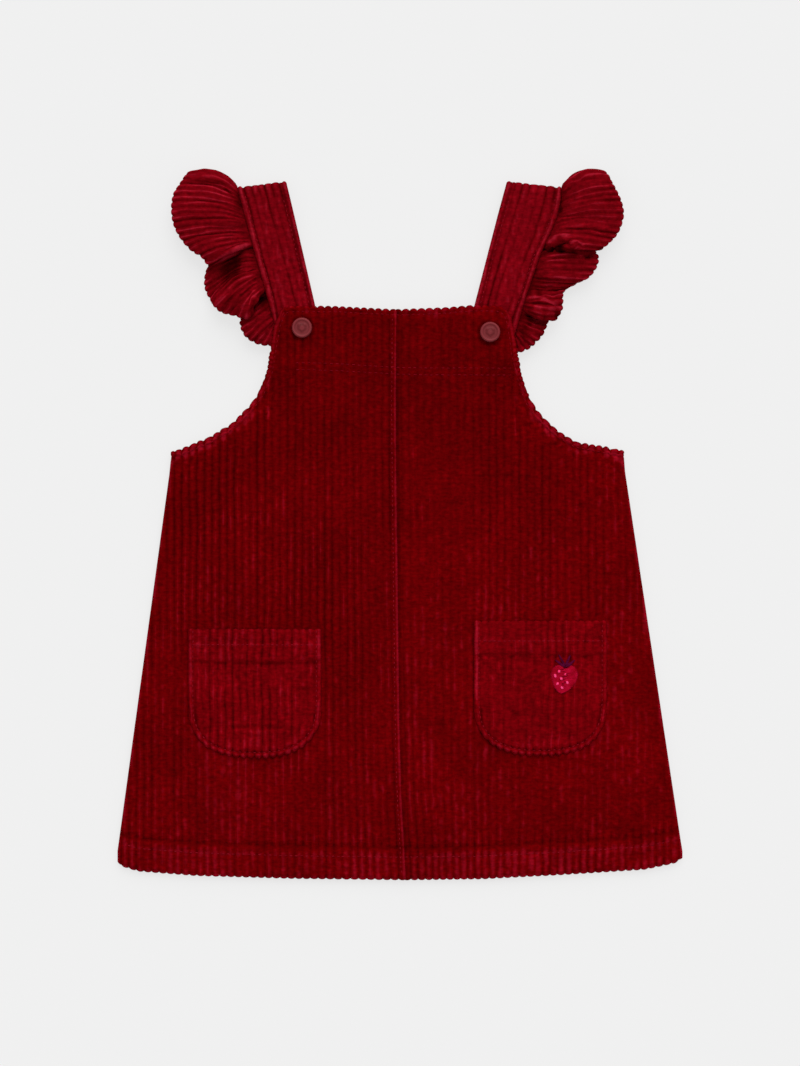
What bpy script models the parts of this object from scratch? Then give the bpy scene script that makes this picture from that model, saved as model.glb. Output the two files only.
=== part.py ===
"""A small child's corduroy pinafore dress, lying on its back on a flat surface.

Lengths are millimetres on the laid garment: x to the right from its middle, y up from the
lowest point of the hem, z up from the surface. wall() and the other makers turn them into metres.
Left and right are the viewer's. The parts hang on one empty, which puts the origin under the
middle of the garment.
"""
import math

import bmesh
import bpy
import numpy as np

MM = 0.001
MERGE_DISTANCE = 0.01 * MM

ORIGIN_Y = 217.0           # halfway from the lowest hem ridge to the top of the frills
SEAM_GAP = 0.3             # between neighbouring pieces

# Corduroy
WALE_HEIGHT = 0.9          # ridge over groove
FRONT_CLOTH = 1.4          # front panels at a groove
BACK_CLOTH = 2.0           # back panel, with its wales pressed flat
EDGE_CLOTH = 0.7           # where a wall rounds off at its edge
SCALLOP = 0.6              # ridges stand out, and grooves in, at an edge cut across the wales
HALF_WALES = 75            # half wales across each front at the hem, 2.3 mm each

# Front panels
FRONT_HALF_WIDTH = 172.5
SIDE_CORNER_HEIGHT = 4.0   # shortest column, at the foot of the side seam
PUFF_HEIGHT = 3.2          # the front stands off the back inside its edges
PUFF_REACH = 50.0
HEM_EXTRA = 0.5            # the turned-up hem is thicker
HEM_CREASE = -0.3
SEAM_LAP = 0.8             # the left front stands proud at the centre seam
SEAM_LAP_REACH = (1.5, 7.0)
DRIFT_REACH = 60.0         # wales this near to the centre seam lean with it
UNDER_BIB_Z = 6.6          # inside of the bib, over the strap ends
BIB_RISE = (290.0, 319.0)  # heights where the bib climbs onto the strap ends
BIB_SAG = 0.55             # how far it sinks again between the straps
BIB_SAG_REACH = (3.0, 22.0)

HEM = (  # x, y
    (-172.6, 11.9), (-170.6, 8.9), (-159.8, 5.6), (-124.4, 2.9), (-66.5, 1.2), (0.0, 0.3),
    (50.0, 0.9), (99.4, 3.5), (149.5, 6.7), (168.4, 10.7), (172.5, 14.0),
)
LEFT_UPPER_EDGE = (  # x, y: side seam, underarm corner, armhole, bib corner, neck
    (-172.6, 17.0), (-140.3, 252.0), (-139.9, 261.5), (-133.0, 263.4), (-117.5, 269.7),
    (-102.9, 278.5), (-92.2, 289.2), (-85.9, 298.0), (-81.0, 309.6), (-78.1, 326.2),
    (-76.3, 338.6), (-72.0, 348.4), (-67.0, 350.0), (-36.6, 349.8), (0.0, 348.0),
)
RIGHT_UPPER_EDGE = (  # x, y
    (0.0, 348.0), (30.5, 349.2), (45.5, 350.4), (60.4, 350.0), (65.1, 347.6), (67.6, 342.7),
    (69.5, 334.0), (71.0, 321.3), (74.4, 307.7), (78.8, 294.0), (84.6, 285.3), (97.2, 273.6),
    (108.0, 267.3), (128.0, 263.5), (136.6, 261.8), (137.3, 250.4), (172.5, 17.0),
)
SEAM_DRIFT = (  # y, x of the centre seam
    (0.0, 3.9), (92.0, 0.0), (171.0, -0.1), (244.0, -2.1), (293.0, -2.7), (350.0, -2.6),
)
ROWS_FROM_HEM = (0.0, 1.3, 10.0, 19.5, 24.0)
ROWS_FROM_TOP = (52.0, 28.0, 12.0, 1.3, 0.0)
MIDDLE_ROWS = 5
INSIDE_ROWS = (0, 2, 4, 6, 8, 10, 11, 12, 14)   # rows that the plain inside keeps
FOLDS = (  # x at the top, x at the foot, y at the top, y at the foot, half width, height
    (-104.0, -108.0, 300.0, 150.0, 9.0, -1.0),
    (-84.0, -86.0, 310.0, 175.0, 8.0, 0.8),
    (-62.0, -60.0, 285.0, 160.0, 9.0, -1.1),
    (-40.0, -42.0, 300.0, 130.0, 10.0, 0.7),
    (-22.0, -20.0, 250.0, 60.0, 7.0, -0.7),
    (28.0, 30.0, 290.0, 120.0, 9.0, -0.7),
    (62.0, 66.0, 300.0, 170.0, 11.0, 0.6),
    (98.0, 104.0, 262.0, 165.0, 9.0, -0.8),
    (-128.0, -146.0, 245.0, 70.0, 8.0, -0.8),
    (126.0, 146.0, 245.0, 60.0, 8.0, -0.7),
    (-60.0, -62.0, 72.0, 8.0, 12.0, -0.8),
    (78.0, 84.0, 70.0, 8.0, 13.0, -0.8),
)

# Back panel
BACK_INSET = 1.3           # it lies hidden inside the front's outline
BACK_NECK_Y = 345.0

# Patch pockets
POCKET_CLOTH = 1.2
POCKET_ROUND = 33.0        # height of the rounded foot
POCKET_POWER = 2.5         # 2 is an ellipse, more is squarer
POCKET_HALF_WALES = 36
POCKET_BAND = 15.5         # turned-over top edge
POCKET_BAND_EXTRA = 0.6
POCKET_BODY_ROWS = (0.0, 0.03, 0.2, 0.4, 0.6, 0.75)   # shares of the way from foot to band
POCKET_BAND_ROWS = (1.0, 0.93, 0.5, 0.08, 0.0)        # shares of the band, down from the top
POCKETS = (  # name, middle x, foot y, width, height
    ("pocket_left", -88.2, 75.2, 81.2, 77.8),
    ("pocket_right", 85.6, 76.3, 81.0, 81.6),
)

# Straps, each a folded double band: along the front, over the shoulder, and down behind
STRAP_CLOTH = 1.5
STRAP_WALE_HEIGHT = 0.7
STRAP_WALES = 6
STRAP_END_Y = 322.0        # front end, under the bib
STRAP_FOLD_Y = 419.8       # where the turn over the shoulder starts
STRAP_FOLD_TILT = 3.7      # the fold is this much higher at the neck side
STRAP_BACK_END_Y = 330.0
STRAP_FRONT_Z = 4.85       # middle of the band, front run
STRAP_BACK_Z = 0.75        # middle of the band, back run on the surface
STRAP_JOIN_Z = 3.05        # middle of the band over the back panel
STRAP_JOIN_RAMP = (346.0, 356.0)
STRAP_STEP = 9.0           # between stations along a run
LEFT_STRAP = (  # y, armhole-side x, neck-side x
    (322.0, -72.0, -44.9), (338.6, -76.6, -49.0), (424.0, -100.1, -69.8),
)
RIGHT_STRAP = (  # y, armhole-side x, neck-side x
    (322.0, 66.8, 37.7), (341.3, 72.6, 43.0), (355.6, 76.9, 46.9), (381.0, 85.4, 53.8),
    (393.0, 91.2, 57.1), (402.0, 95.0, 59.5), (411.0, 97.6, 62.0), (424.0, 99.2, 65.6),
)

# Frills, gathered into the straps' armhole edges; their wales run from seam to free edge
FRILL_CLOTH = 1.3
FRILL_WALE_HEIGHT = 0.5
FRILL_HALF_WALE = 2.3
FRILL_BACK_STEP = 6.0      # plain sections on the hidden run behind the shoulder
FRILL_ACROSS = 5           # points from seam to free edge
FRILL_SPACING_LINE = 0.7   # the wales are evenly spaced here, with the seam at 0 and the edge at 1
FRILL_WALE_FADE = 12.0     # length over which the wales fade out behind the shoulder
CURVE_SAMPLES = 40         # for each row of a frill's table, to measure its length
LEFT_FRILL_FRONT = (  # seam y, seam z, middle x, y, z, free edge x, y, z
    (337.5, 4.85, -78.9, 332.0, 6.0, -80.5, 327.5, 5.5),
    (341.0, 4.85, -81.5, 334.0, 8.0, -86.5, 328.3, 6.0),
    (345.5, 4.85, -84.0, 338.5, 10.5, -92.5, 331.0, 7.0),
    (351.5, 4.85, -86.0, 342.5, 10.0, -96.0, 337.0, 6.5),
    (356.5, 4.85, -86.0, 346.5, 6.0, -93.5, 341.0, 5.2),
    (360.0, 4.85, -88.0, 348.5, 12.0, -93.5, 343.2, 8.0),
    (363.5, 4.85, -91.0, 351.5, 14.0, -100.0, 344.5, 9.0),
    (367.5, 4.85, -94.5, 356.0, 14.5, -108.0, 347.5, 9.0),
    (371.0, 4.85, -99.0, 361.5, 12.5, -117.0, 354.0, 7.0),
    (375.5, 4.85, -102.0, 366.5, 7.0, -119.3, 361.5, 5.5),
    (380.0, 4.85, -103.0, 374.0, 5.2, -117.0, 368.5, 5.2),
    (384.5, 4.85, -101.5, 381.0, 8.5, -115.5, 374.5, 7.0),
    (387.5, 4.85, -104.0, 383.0, 13.5, -118.5, 378.5, 9.5),
    (390.0, 4.85, -108.5, 387.0, 15.0, -127.0, 384.5, 10.0),
    (393.0, 4.85, -112.0, 392.0, 14.5, -133.0, 391.5, 9.5),
    (397.5, 4.85, -113.5, 398.0, 14.5, -136.5, 398.0, 9.5),
    (403.0, 4.85, -115.0, 405.0, 15.5, -138.5, 405.0, 10.0),
    (408.0, 4.85, -114.5, 412.5, 14.0, -138.5, 412.5, 10.0),
    (413.5, 4.85, -112.5, 421.5, 9.5, -136.0, 421.0, 8.0),
    (417.5, 4.85, -109.5, 429.0, 11.5, -131.5, 426.5, 9.0),
    (420.5, 4.40, -110.0, 432.2, 7.5, -129.0, 429.6, 6.0),
)
RIGHT_FRILL_FRONT = (  # seam y, seam z, middle x, y, z, free edge x, y, z
    (332.0, 4.85, 72.7, 324.5, 6.0, 74.0, 322.5, 5.5),
    (335.0, 4.85, 74.7, 327.5, 7.0, 79.0, 326.5, 6.0),
    (340.0, 4.85, 78.0, 334.0, 8.5, 84.0, 332.0, 6.5),
    (344.5, 4.85, 81.0, 339.5, 8.5, 88.0, 337.5, 6.5),
    (348.5, 4.85, 84.0, 344.5, 6.0, 92.0, 342.0, 5.6),
    (352.5, 4.85, 87.0, 350.0, 9.0, 96.0, 346.5, 7.0),
    (356.0, 4.85, 88.5, 354.0, 12.0, 98.0, 351.5, 8.5),
    (359.5, 4.85, 89.0, 357.0, 11.0, 98.5, 356.5, 8.0),
    (364.0, 4.85, 90.5, 361.0, 8.0, 100.0, 361.5, 7.0),
    (369.0, 4.85, 95.0, 366.0, 12.0, 108.5, 365.5, 9.0),
    (373.5, 4.85, 98.5, 370.5, 13.0, 116.5, 370.0, 9.5),
    (378.5, 4.85, 100.0, 376.0, 12.0, 119.5, 374.8, 9.0),
    (383.5, 4.85, 99.5, 381.8, 7.5, 118.0, 379.0, 7.0),
    (386.5, 4.85, 99.0, 386.3, 5.2, 116.5, 382.0, 5.5),
    (389.5, 4.85, 100.0, 390.0, 9.0, 120.0, 384.5, 8.0),
    (393.0, 4.85, 104.5, 393.5, 14.0, 125.0, 387.0, 10.0),
    (397.0, 4.85, 110.0, 396.5, 14.5, 130.5, 391.5, 9.5),
    (401.0, 4.85, 113.0, 401.0, 14.5, 135.0, 398.5, 9.5),
    (404.5, 4.85, 114.5, 406.5, 15.0, 135.8, 406.0, 10.0),
    (409.0, 4.85, 114.0, 413.0, 14.0, 134.5, 413.5, 10.0),
    (414.0, 4.85, 112.5, 422.0, 9.5, 131.5, 421.5, 8.0),
    (418.0, 4.85, 109.5, 428.8, 11.5, 128.3, 426.8, 9.0),
    (420.8, 4.40, 108.5, 432.2, 7.5, 126.0, 429.8, 6.0),
)
FRILL_BEHIND = (  # as above but out from the strap: over the shoulder, then down to the back
    (421.3, 2.80, 11.0, 432.8, 4.2, 27.0, 430.2, 3.8),
    (420.3, 1.20, 10.5, 429.5, 1.2, 26.0, 426.5, 1.2),
    (410.0, 0.75, 15.0, 416.5, 0.9, 32.0, 415.0, 1.1),
    (399.0, 0.75, 17.5, 400.5, 2.4, 34.0, 398.0, 1.8),
    (387.0, 0.75, 12.0, 386.0, 0.8, 20.5, 384.0, 1.0),
    (374.0, 0.75, 9.5, 371.5, 2.3, 14.0, 369.0, 1.8),
    (362.0, 0.75, 6.5, 359.0, 0.8, 10.5, 357.0, 1.0),
    (352.0, 0.75, 5.0, 350.0, 0.8, 8.0, 348.5, 0.8),
)

# Snap fasteners, shown closed
SNAP_RADIUS = 6.2
SNAP_STEPS = 28
SNAP_PROFILE = (  # radius, height over the cloth, from the middle of the face to that of the back
    (0.0, 1.9), (3.9, 1.9), (4.5, 2.3), (5.4, 2.3), (6.0, 1.7), (6.2, 0.9), (5.7, 0.0), (0.0, 0.0),
)
SNAPS = (  # name, x, y
    ("snap_cap_left", -59.6, 336.8),
    ("snap_cap_right", 54.8, 334.2),
)

# Finishes
CLOTH_ROUGHNESS = 0.9
SNAP_ROUGHNESS = 0.45
CLOTH_SHARP_DEGREES = 22.0
SNAP_SHARP_DEGREES = 50.0
BODY_RED = (0.115, 0.002, 0.004)
FRILL_RED = (0.150, 0.004, 0.008)
STRAP_RED = (0.175, 0.004, 0.010)
POCKET_RED = (0.145, 0.003, 0.006)
SNAP_RED = (0.165, 0.018, 0.021)


# Numbers

def ease(low, high, value):
    """0 below low, 1 above high, smooth between."""
    t = np.clip((np.asarray(value, float) - low) / (high - low), 0.0, 1.0)
    return t * t * (3.0 - 2.0 * t)


def read(table, value, column=1):
    """A table's column at a value of its first column, straight between the rows."""
    rows = np.array(table)
    return np.interp(value, rows[:, 0], rows[:, column])


def through(rows, places):
    """Points on the smooth curve through a table's rows, at fractional row numbers."""
    rows = np.asarray(rows, float)
    last = len(rows) - 1
    start = np.clip(np.floor(places).astype(int), 0, last - 1)
    t = (np.asarray(places) - start)[:, None]
    before = rows[np.maximum(start - 1, 0)]
    here = rows[start]
    there = rows[start + 1]
    after = rows[np.minimum(start + 2, last)]
    bend = 2.0 * before - 5.0 * here + 4.0 * there - after
    twist = 3.0 * here - before - 3.0 * there + after
    return here + 0.5 * t * (there - before + t * (bend + t * twist))


def distance_to(line, x, y):
    """Distance from each point to a broken line."""
    points = np.stack([x, y], axis=-1)
    nearest = np.full(np.shape(x), np.inf)
    for start, end in zip(np.array(line[:-1]), np.array(line[1:])):
        run = end - start
        along = np.clip((points - start) @ run / (run @ run), 0.0, 1.0)
        away = points - (start + along[..., None] * run)
        nearest = np.minimum(nearest, np.linalg.norm(away, axis=-1))
    return nearest


# Form of the front, which the pockets and snaps follow

def puff(x, y):
    outline = LEFT_UPPER_EDGE + RIGHT_UPPER_EDGE[1:] + HEM[::-1] + LEFT_UPPER_EDGE[:1]
    return PUFF_HEIGHT * ease(0.0, PUFF_REACH, distance_to(outline, x, y))


def folds(x, y):
    """Long soft ridges and troughs down the front."""
    total = np.zeros(np.shape(x))
    for x_top, x_foot, y_top, y_foot, half_width, height in FOLDS:
        reach = (y_top - y_foot) / 3.0
        line = x_foot + (x_top - x_foot) * (y - y_foot) / (y_top - y_foot)
        window = ease(y_foot, y_foot + reach, y) * (1.0 - ease(y_top - reach, y_top, y))
        total = total + height * window * np.exp(-((x - line) / half_width) ** 2)
    return total


def over_strap(x, y):
    """1 where the bib lies on a strap's end, less between the straps."""
    left_inside = x - read(LEFT_STRAP, y, 2)
    right_inside = read(RIGHT_STRAP, y, 2) - x
    inside = np.minimum(left_inside, right_inside)
    return ease(*BIB_RISE, y) * (1.0 - BIB_SAG * ease(*BIB_SAG_REACH, inside))


def front_inside(x, y):
    """Height of the front's inner face."""
    low = BACK_CLOTH + SEAM_GAP
    base = low + np.maximum(puff(x, y) + folds(x, y), 0.0)
    share = over_strap(x, y)
    return base * (1.0 - share) + UNDER_BIB_Z * share


def front_face(x, y):
    """Height of the front's ridges, away from its edges."""
    return front_inside(x, y) + FRONT_CLOTH + WALE_HEIGHT


# Meshes

def stitch(bm, near, far, near_at, far_at):
    """Triangles between two rows of vertices that run side by side, at the places given."""
    i = 0
    j = 0
    while i < len(near) - 1 or j < len(far) - 1:
        far_done = j == len(far) - 1
        near_next = i < len(near) - 1 and (far_done or near_at[i + 1] <= far_at[j + 1])
        if near_next:
            bm.faces.new((near[i], near[i + 1], far[j]))
            i += 1
        else:
            bm.faces.new((near[i], far[j + 1], far[j]))
            j += 1


def add_object(name, mesh, color, roughness, sharp_degrees=CLOTH_SHARP_DEGREES):
    """A smooth-shaded object in the garment's collection, with a material of its own."""
    mesh.shade_smooth()
    mesh.set_sharp_from_angle(angle=math.radians(sharp_degrees))
    material = bpy.data.materials.new(name)
    material.use_nodes = True
    shader = material.node_tree.nodes["Principled BSDF"]
    shader.inputs["Base Color"].default_value = (*color, 1.0)
    shader.inputs["Roughness"].default_value = roughness
    shader.inputs["Metallic"].default_value = 0.0
    mesh.materials.append(material)
    piece = bpy.data.objects.new(name, mesh)
    garment.objects.link(piece)
    piece.parent = origin
    return piece


def wall(name, outer, inner, outer_at, inner_at, color):
    """A closed wall of cloth between an outer and an inner grid of points.

    outer_at and inner_at hold each grid's column and row places, so that a fine outer grid and
    a coarse inner one meet round the rim.
    """
    bm = bmesh.new()
    grids = [[[bm.verts.new(point * MM) for point in column] for column in grid]
             for grid in (outer, inner)]
    for columns in grids:
        for left, right in zip(columns, columns[1:]):
            for low in range(len(left) - 1):
                bm.faces.new((left[low], right[low], right[low + 1], left[low + 1]))
    outside, inside = grids
    for end in (0, -1):
        stitch(bm, [column[end] for column in outside], [column[end] for column in inside],
               outer_at[0], inner_at[0])
        stitch(bm, outside[end], inside[end], outer_at[1], inner_at[1])
    bmesh.ops.recalc_face_normals(bm, faces=bm.faces)
    mesh = bpy.data.meshes.new(name)
    bm.to_mesh(mesh)
    bm.free()
    return add_object(name, mesh, color, CLOTH_ROUGHNESS)


def rows_between(foot, top):
    """Heights of a column's rows: close together at both edges, even between."""
    height = top - foot
    count = len(ROWS_FROM_HEM) + MIDDLE_ROWS + len(ROWS_FROM_TOP)
    even = np.linspace(0.0, height, count)
    low = np.minimum(ROWS_FROM_HEM, even[:len(ROWS_FROM_HEM)])
    high = height - np.minimum(ROWS_FROM_TOP, even[:len(ROWS_FROM_TOP)][::-1])
    middle = np.linspace(low[-1], high[0], MIDDLE_ROWS + 2)[1:-1]
    return foot + np.concatenate([low, middle, high])


def every_other(count):
    """Even places up to count, with the last place too."""
    return sorted(set(range(0, count + 1, 2)) | {count})


# Pieces

def front_panel(name, side, upper_edge):
    """One front: its columns follow the wales, from the centre seam to the side seam."""
    places = np.arange(HALF_WALES + 1)
    first = side * SEAM_GAP / 2.0
    across = np.linspace(first, side * FRONT_HALF_WIDTH, HALF_WALES + 1)
    ridge = places % 2
    scallop = SCALLOP * (2.0 * ridge - 1.0)
    edge_order = np.array(sorted(upper_edge))
    foot = read(HEM, across) - scallop
    top = np.interp(across, edge_order[:, 0], edge_order[:, 1]) + scallop
    top = np.maximum(top, foot + SIDE_CORNER_HEIGHT)
    y = np.array([rows_between(low, high) for low, high in zip(foot, top)])
    lean = 1.0 - ease(0.0, DRIFT_REACH, np.abs(across))
    x = across[:, None] + lean[:, None] * read(SEAM_DRIFT, y)

    inside_z = front_inside(x, y)
    face = FRONT_CLOTH + WALE_HEIGHT * ridge[:, None] + np.zeros(y.shape)
    face[:, 1:3] += HEM_EXTRA
    face[:, 3] += HEM_CREASE
    if side < 0:
        face += SEAM_LAP * (1.0 - ease(*SEAM_LAP_REACH, np.abs(across)))[:, None]
    face[:, [0, -1]] = EDGE_CLOTH
    face[-1] = EDGE_CLOTH
    outer = np.stack([x, y, inside_z + face], axis=-1)
    inner = np.stack([x, y, inside_z], axis=-1)
    kept = every_other(HALF_WALES)
    inner = inner[kept][:, INSIDE_ROWS]
    return wall(name, outer, inner, (places, range(y.shape[1])), (kept, INSIDE_ROWS), BODY_RED)


def back_panel():
    """The back in one piece, flat on the surface and hidden by the fronts."""
    outline = np.array(LEFT_UPPER_EDGE + RIGHT_UPPER_EDGE[1:] + HEM[::-1])
    ahead = np.roll(outline, -1, axis=0) - np.roll(outline, 1, axis=0)
    ahead /= np.linalg.norm(ahead, axis=1)[:, None]
    inward = np.stack([ahead[:, 1], -ahead[:, 0]], axis=1)
    outline = outline + BACK_INSET * inward
    outline[:, 1] = np.minimum(outline[:, 1], BACK_NECK_Y)
    curve = bpy.data.curves.new("back_outline", "CURVE")
    curve.dimensions = "2D"
    curve.fill_mode = "BOTH"
    curve.extrude = BACK_CLOTH / 2.0 * MM
    spline = curve.splines.new("POLY")
    spline.points.add(len(outline) - 1)
    for point, (x, y) in zip(spline.points, outline):
        point.co = (x * MM, y * MM, 0.0, 1.0)
    spline.use_cyclic_u = True
    sheet = bpy.data.objects.new("back_outline", curve)
    garment.objects.link(sheet)
    depsgraph = bpy.context.evaluated_depsgraph_get()
    mesh = bpy.data.meshes.new_from_object(sheet.evaluated_get(depsgraph))
    bpy.data.objects.remove(sheet)
    bm = bmesh.new()
    bm.from_mesh(mesh)
    bmesh.ops.remove_doubles(bm, verts=bm.verts, dist=MERGE_DISTANCE)
    bmesh.ops.translate(bm, verts=bm.verts, vec=(0.0, 0.0, BACK_CLOTH / 2.0 * MM))
    bmesh.ops.recalc_face_normals(bm, faces=bm.faces)
    bm.to_mesh(mesh)
    bm.free()
    mesh.name = "back_panel"
    return add_object("back_panel", mesh, BODY_RED, CLOTH_ROUGHNESS)


def pocket(name, middle, foot_y, width, height):
    """A patch pocket, straight at the top and round at the foot, on the front's ridges."""
    places = np.arange(POCKET_HALF_WALES + 1)
    ridge = places % 2
    scallop = SCALLOP * (2.0 * ridge - 1.0)
    share = np.linspace(-1.0, 1.0, POCKET_HALF_WALES + 1)
    across = middle + share * width / 2.0
    drop = (1.0 - np.abs(share) ** POCKET_POWER) ** (1.0 / POCKET_POWER)
    foot = (foot_y + POCKET_ROUND * (1.0 - drop) - scallop)[:, None]
    top = foot_y + height
    body = foot + np.array(POCKET_BODY_ROWS) * (top - POCKET_BAND - foot)
    band = top - POCKET_BAND * np.array(POCKET_BAND_ROWS)
    y = np.hstack([body, np.tile(band, (len(across), 1))])
    x = np.repeat(across[:, None], y.shape[1], axis=1)
    inside_z = front_face(x, y) + SEAM_GAP
    face = POCKET_CLOTH + WALE_HEIGHT * ridge[:, None] + np.zeros(y.shape)
    face[:, -4:-1] += POCKET_BAND_EXTRA
    face[:, [0, -1]] = EDGE_CLOTH
    face[[0, -1]] = EDGE_CLOTH
    outer = np.stack([x, y, inside_z + face], axis=-1)
    inner = np.stack([x, y, inside_z], axis=-1)
    kept_columns = every_other(POCKET_HALF_WALES)
    kept_rows = every_other(y.shape[1] - 1)
    inner = inner[kept_columns][:, kept_rows]
    return wall(name, outer, inner, (places, range(y.shape[1])), (kept_columns, kept_rows),
                POCKET_RED)


def strap_path():
    """Stations along a strap: y at its armhole edge, height, and which way its outside faces."""
    steps = round((STRAP_FOLD_Y - STRAP_END_Y) / STRAP_STEP)
    stations = [(y, STRAP_FRONT_Z, 0.0) for y in np.linspace(STRAP_END_Y, STRAP_FOLD_Y, steps + 1)]
    radius = (STRAP_FRONT_Z - STRAP_BACK_Z) / 2.0
    for angle in np.radians((30.0, 60.0, 90.0, 120.0, 150.0)):
        y = STRAP_FOLD_Y + radius * math.sin(angle)
        stations.append((y, STRAP_BACK_Z + radius * (1.0 + math.cos(angle)), angle))
    low, high = STRAP_JOIN_RAMP
    steps = round((STRAP_FOLD_Y - high) / STRAP_STEP)
    for y in (*np.linspace(STRAP_FOLD_Y, high, steps + 1), low, STRAP_BACK_END_Y):
        z = STRAP_BACK_Z if y >= high else STRAP_JOIN_Z
        stations.append((y, z, math.pi))
    return stations


def strap(name, edges):
    """A band with wales along it, plain inside and where it lies on the surface."""
    places = np.arange(2 * STRAP_WALES + 1)
    share = places / places[-1]
    ridge = places % 2
    half = STRAP_CLOTH / 2.0
    outer = []
    inner = []
    for y, z, turn in strap_path():
        tilt = STRAP_FOLD_TILT * ease(STRAP_END_Y, STRAP_FOLD_Y, y)
        row_y = y + tilt * share
        x = read(edges, y, 1) * (1.0 - share) + read(edges, y, 2) * share
        raised = half + STRAP_WALE_HEIGHT * ridge * (0.5 + 0.5 * math.cos(turn))
        across = (math.sin(turn), math.cos(turn))
        outer.append(np.stack([x, row_y + raised * across[0], z + raised * across[1]], axis=-1))
        inner_z = np.full(x.shape, z - half * across[1])
        inner.append(np.stack([x, row_y - half * across[0], inner_z], axis=-1))
    outer = np.array(outer)
    kept = every_other(places[-1])[::2]
    inner = np.array(inner)[:, kept]
    stations = range(len(outer))
    return wall(name, outer, inner, (stations, places), (stations, kept), STRAP_RED)


def frill_surface(rows, edges, side, places, across):
    """Points of the frill's middle surface, from seam to free edge at each place."""
    rows = through(rows, places)
    seam_x = read(edges, rows[:, 0], 1) + side * SEAM_GAP
    seam = np.stack([seam_x, rows[:, 0], rows[:, 1]], axis=-1)[:, None]
    middle = rows[:, None, 2:5]
    free = rows[:, None, 5:8]
    w = across[None, :, None]
    return (seam * (1.0 - w) * (1.0 - 2.0 * w) + middle * 4.0 * w * (1.0 - w)
            + free * w * (2.0 * w - 1.0))


def frill(name, side, front_rows, edges):
    """A gathered frill, over the shoulder and down behind, with wales on its upper side."""
    behind = np.array(FRILL_BEHIND)
    behind[:, [2, 5]] = read(edges, behind[:, 0], 1)[:, None] + side * behind[:, [2, 5]]
    rows = np.concatenate([np.array(front_rows), behind])
    across = np.linspace(0.0, 1.0, FRILL_ACROSS)

    fine = np.linspace(0.0, len(rows) - 1.0, CURVE_SAMPLES * len(rows))
    path = frill_surface(rows, edges, side, fine, np.array([FRILL_SPACING_LINE]))[:, 0]
    length = np.concatenate([[0.0], np.cumsum(np.linalg.norm(np.diff(path, axis=0), axis=1))])
    turn = float(np.interp(len(front_rows) + 1, fine, length))
    front = np.arange(0.0, turn, FRILL_HALF_WALE)
    hidden = np.arange(turn, length[-1] - FRILL_HALF_WALE, FRILL_BACK_STEP)
    stops = np.concatenate([front, hidden, length[-1:]])
    places = np.interp(stops, length, fine)
    middle = frill_surface(rows, edges, side, places, across)

    along = np.gradient(middle, axis=0)
    out = np.gradient(middle, axis=1)
    out[:, 0] = (side, 0.0, 0.0)
    facing = side * np.cross(out, along)
    facing /= np.linalg.norm(facing, axis=-1)[..., None]
    fade = 1.0 - ease(turn - FRILL_WALE_FADE, turn, stops)
    raised = FRILL_WALE_HEIGHT * (np.arange(len(stops)) % 2) * fade
    half = FRILL_CLOTH / 2.0
    outer = middle + facing * (half + raised)[:, None, None]
    inner = middle - facing * half
    outer[..., 2] = np.maximum(outer[..., 2], 0.0)
    at = (range(len(stops)), range(FRILL_ACROSS))
    return wall(name, outer, inner, at, at, FRILL_RED)


def snap_cap(name, x, y):
    """A moulded cap with a raised rim, turned about its own axis."""
    mesh = bpy.data.meshes.new(name)
    points = [(radius * MM, 0.0, height * MM) for radius, height in SNAP_PROFILE]
    mesh.from_pydata(points, [(i, i + 1) for i in range(len(points) - 1)], [])
    cap = add_object(name, mesh, SNAP_RED, SNAP_ROUGHNESS, SNAP_SHARP_DEGREES)
    around = np.linspace(0.0, 2.0 * math.pi, SNAP_STEPS)
    ring = front_face(x + SNAP_RADIUS * np.cos(around), y + SNAP_RADIUS * np.sin(around))
    cap.location = (x * MM, y * MM, (float(ring.max()) + SEAM_GAP) * MM)
    screw = cap.modifiers.new("turn", "SCREW")
    screw.steps = SNAP_STEPS
    screw.render_steps = SNAP_STEPS
    screw.use_merge_vertices = True
    screw.merge_threshold = MERGE_DISTANCE
    screw.use_smooth_shade = True
    return cap


for thing in list(bpy.data.objects):
    bpy.data.objects.remove(thing)

garment = bpy.data.collections.new("corduroy_pinafore")
bpy.context.scene.collection.children.link(garment)
origin = bpy.data.objects.new("pinafore_origin", None)
origin.location = (0.0, -ORIGIN_Y * MM, 0.0)
garment.objects.link(origin)

back_panel()
front_panel("front_panel_left", -1, LEFT_UPPER_EDGE)
front_panel("front_panel_right", 1, RIGHT_UPPER_EDGE)
for pocket_row in POCKETS:
    pocket(*pocket_row)
strap("strap_left", LEFT_STRAP)
strap("strap_right", RIGHT_STRAP)
frill("ruffle_left", -1, LEFT_FRILL_FRONT, LEFT_STRAP)
frill("ruffle_right", 1, RIGHT_FRILL_FRONT, RIGHT_STRAP)
for snap_row in SNAPS:
    snap_cap(*snap_row)
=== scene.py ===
"""A small child's corduroy pinafore dress, laid flat and seen from above.

Every sewn piece is a thin closed shell of cloth on the form of its solid, in the same words as the
part's source: lengths are millimetres on the laid garment, x to the right from its middle, y up
from the lowest point of the hem, z up from the surface. place() turns them into the frame.
"""

import math

import bmesh
import bpy
import numpy as np
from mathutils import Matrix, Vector
from mathutils.bvhtree import BVHTree


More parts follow.
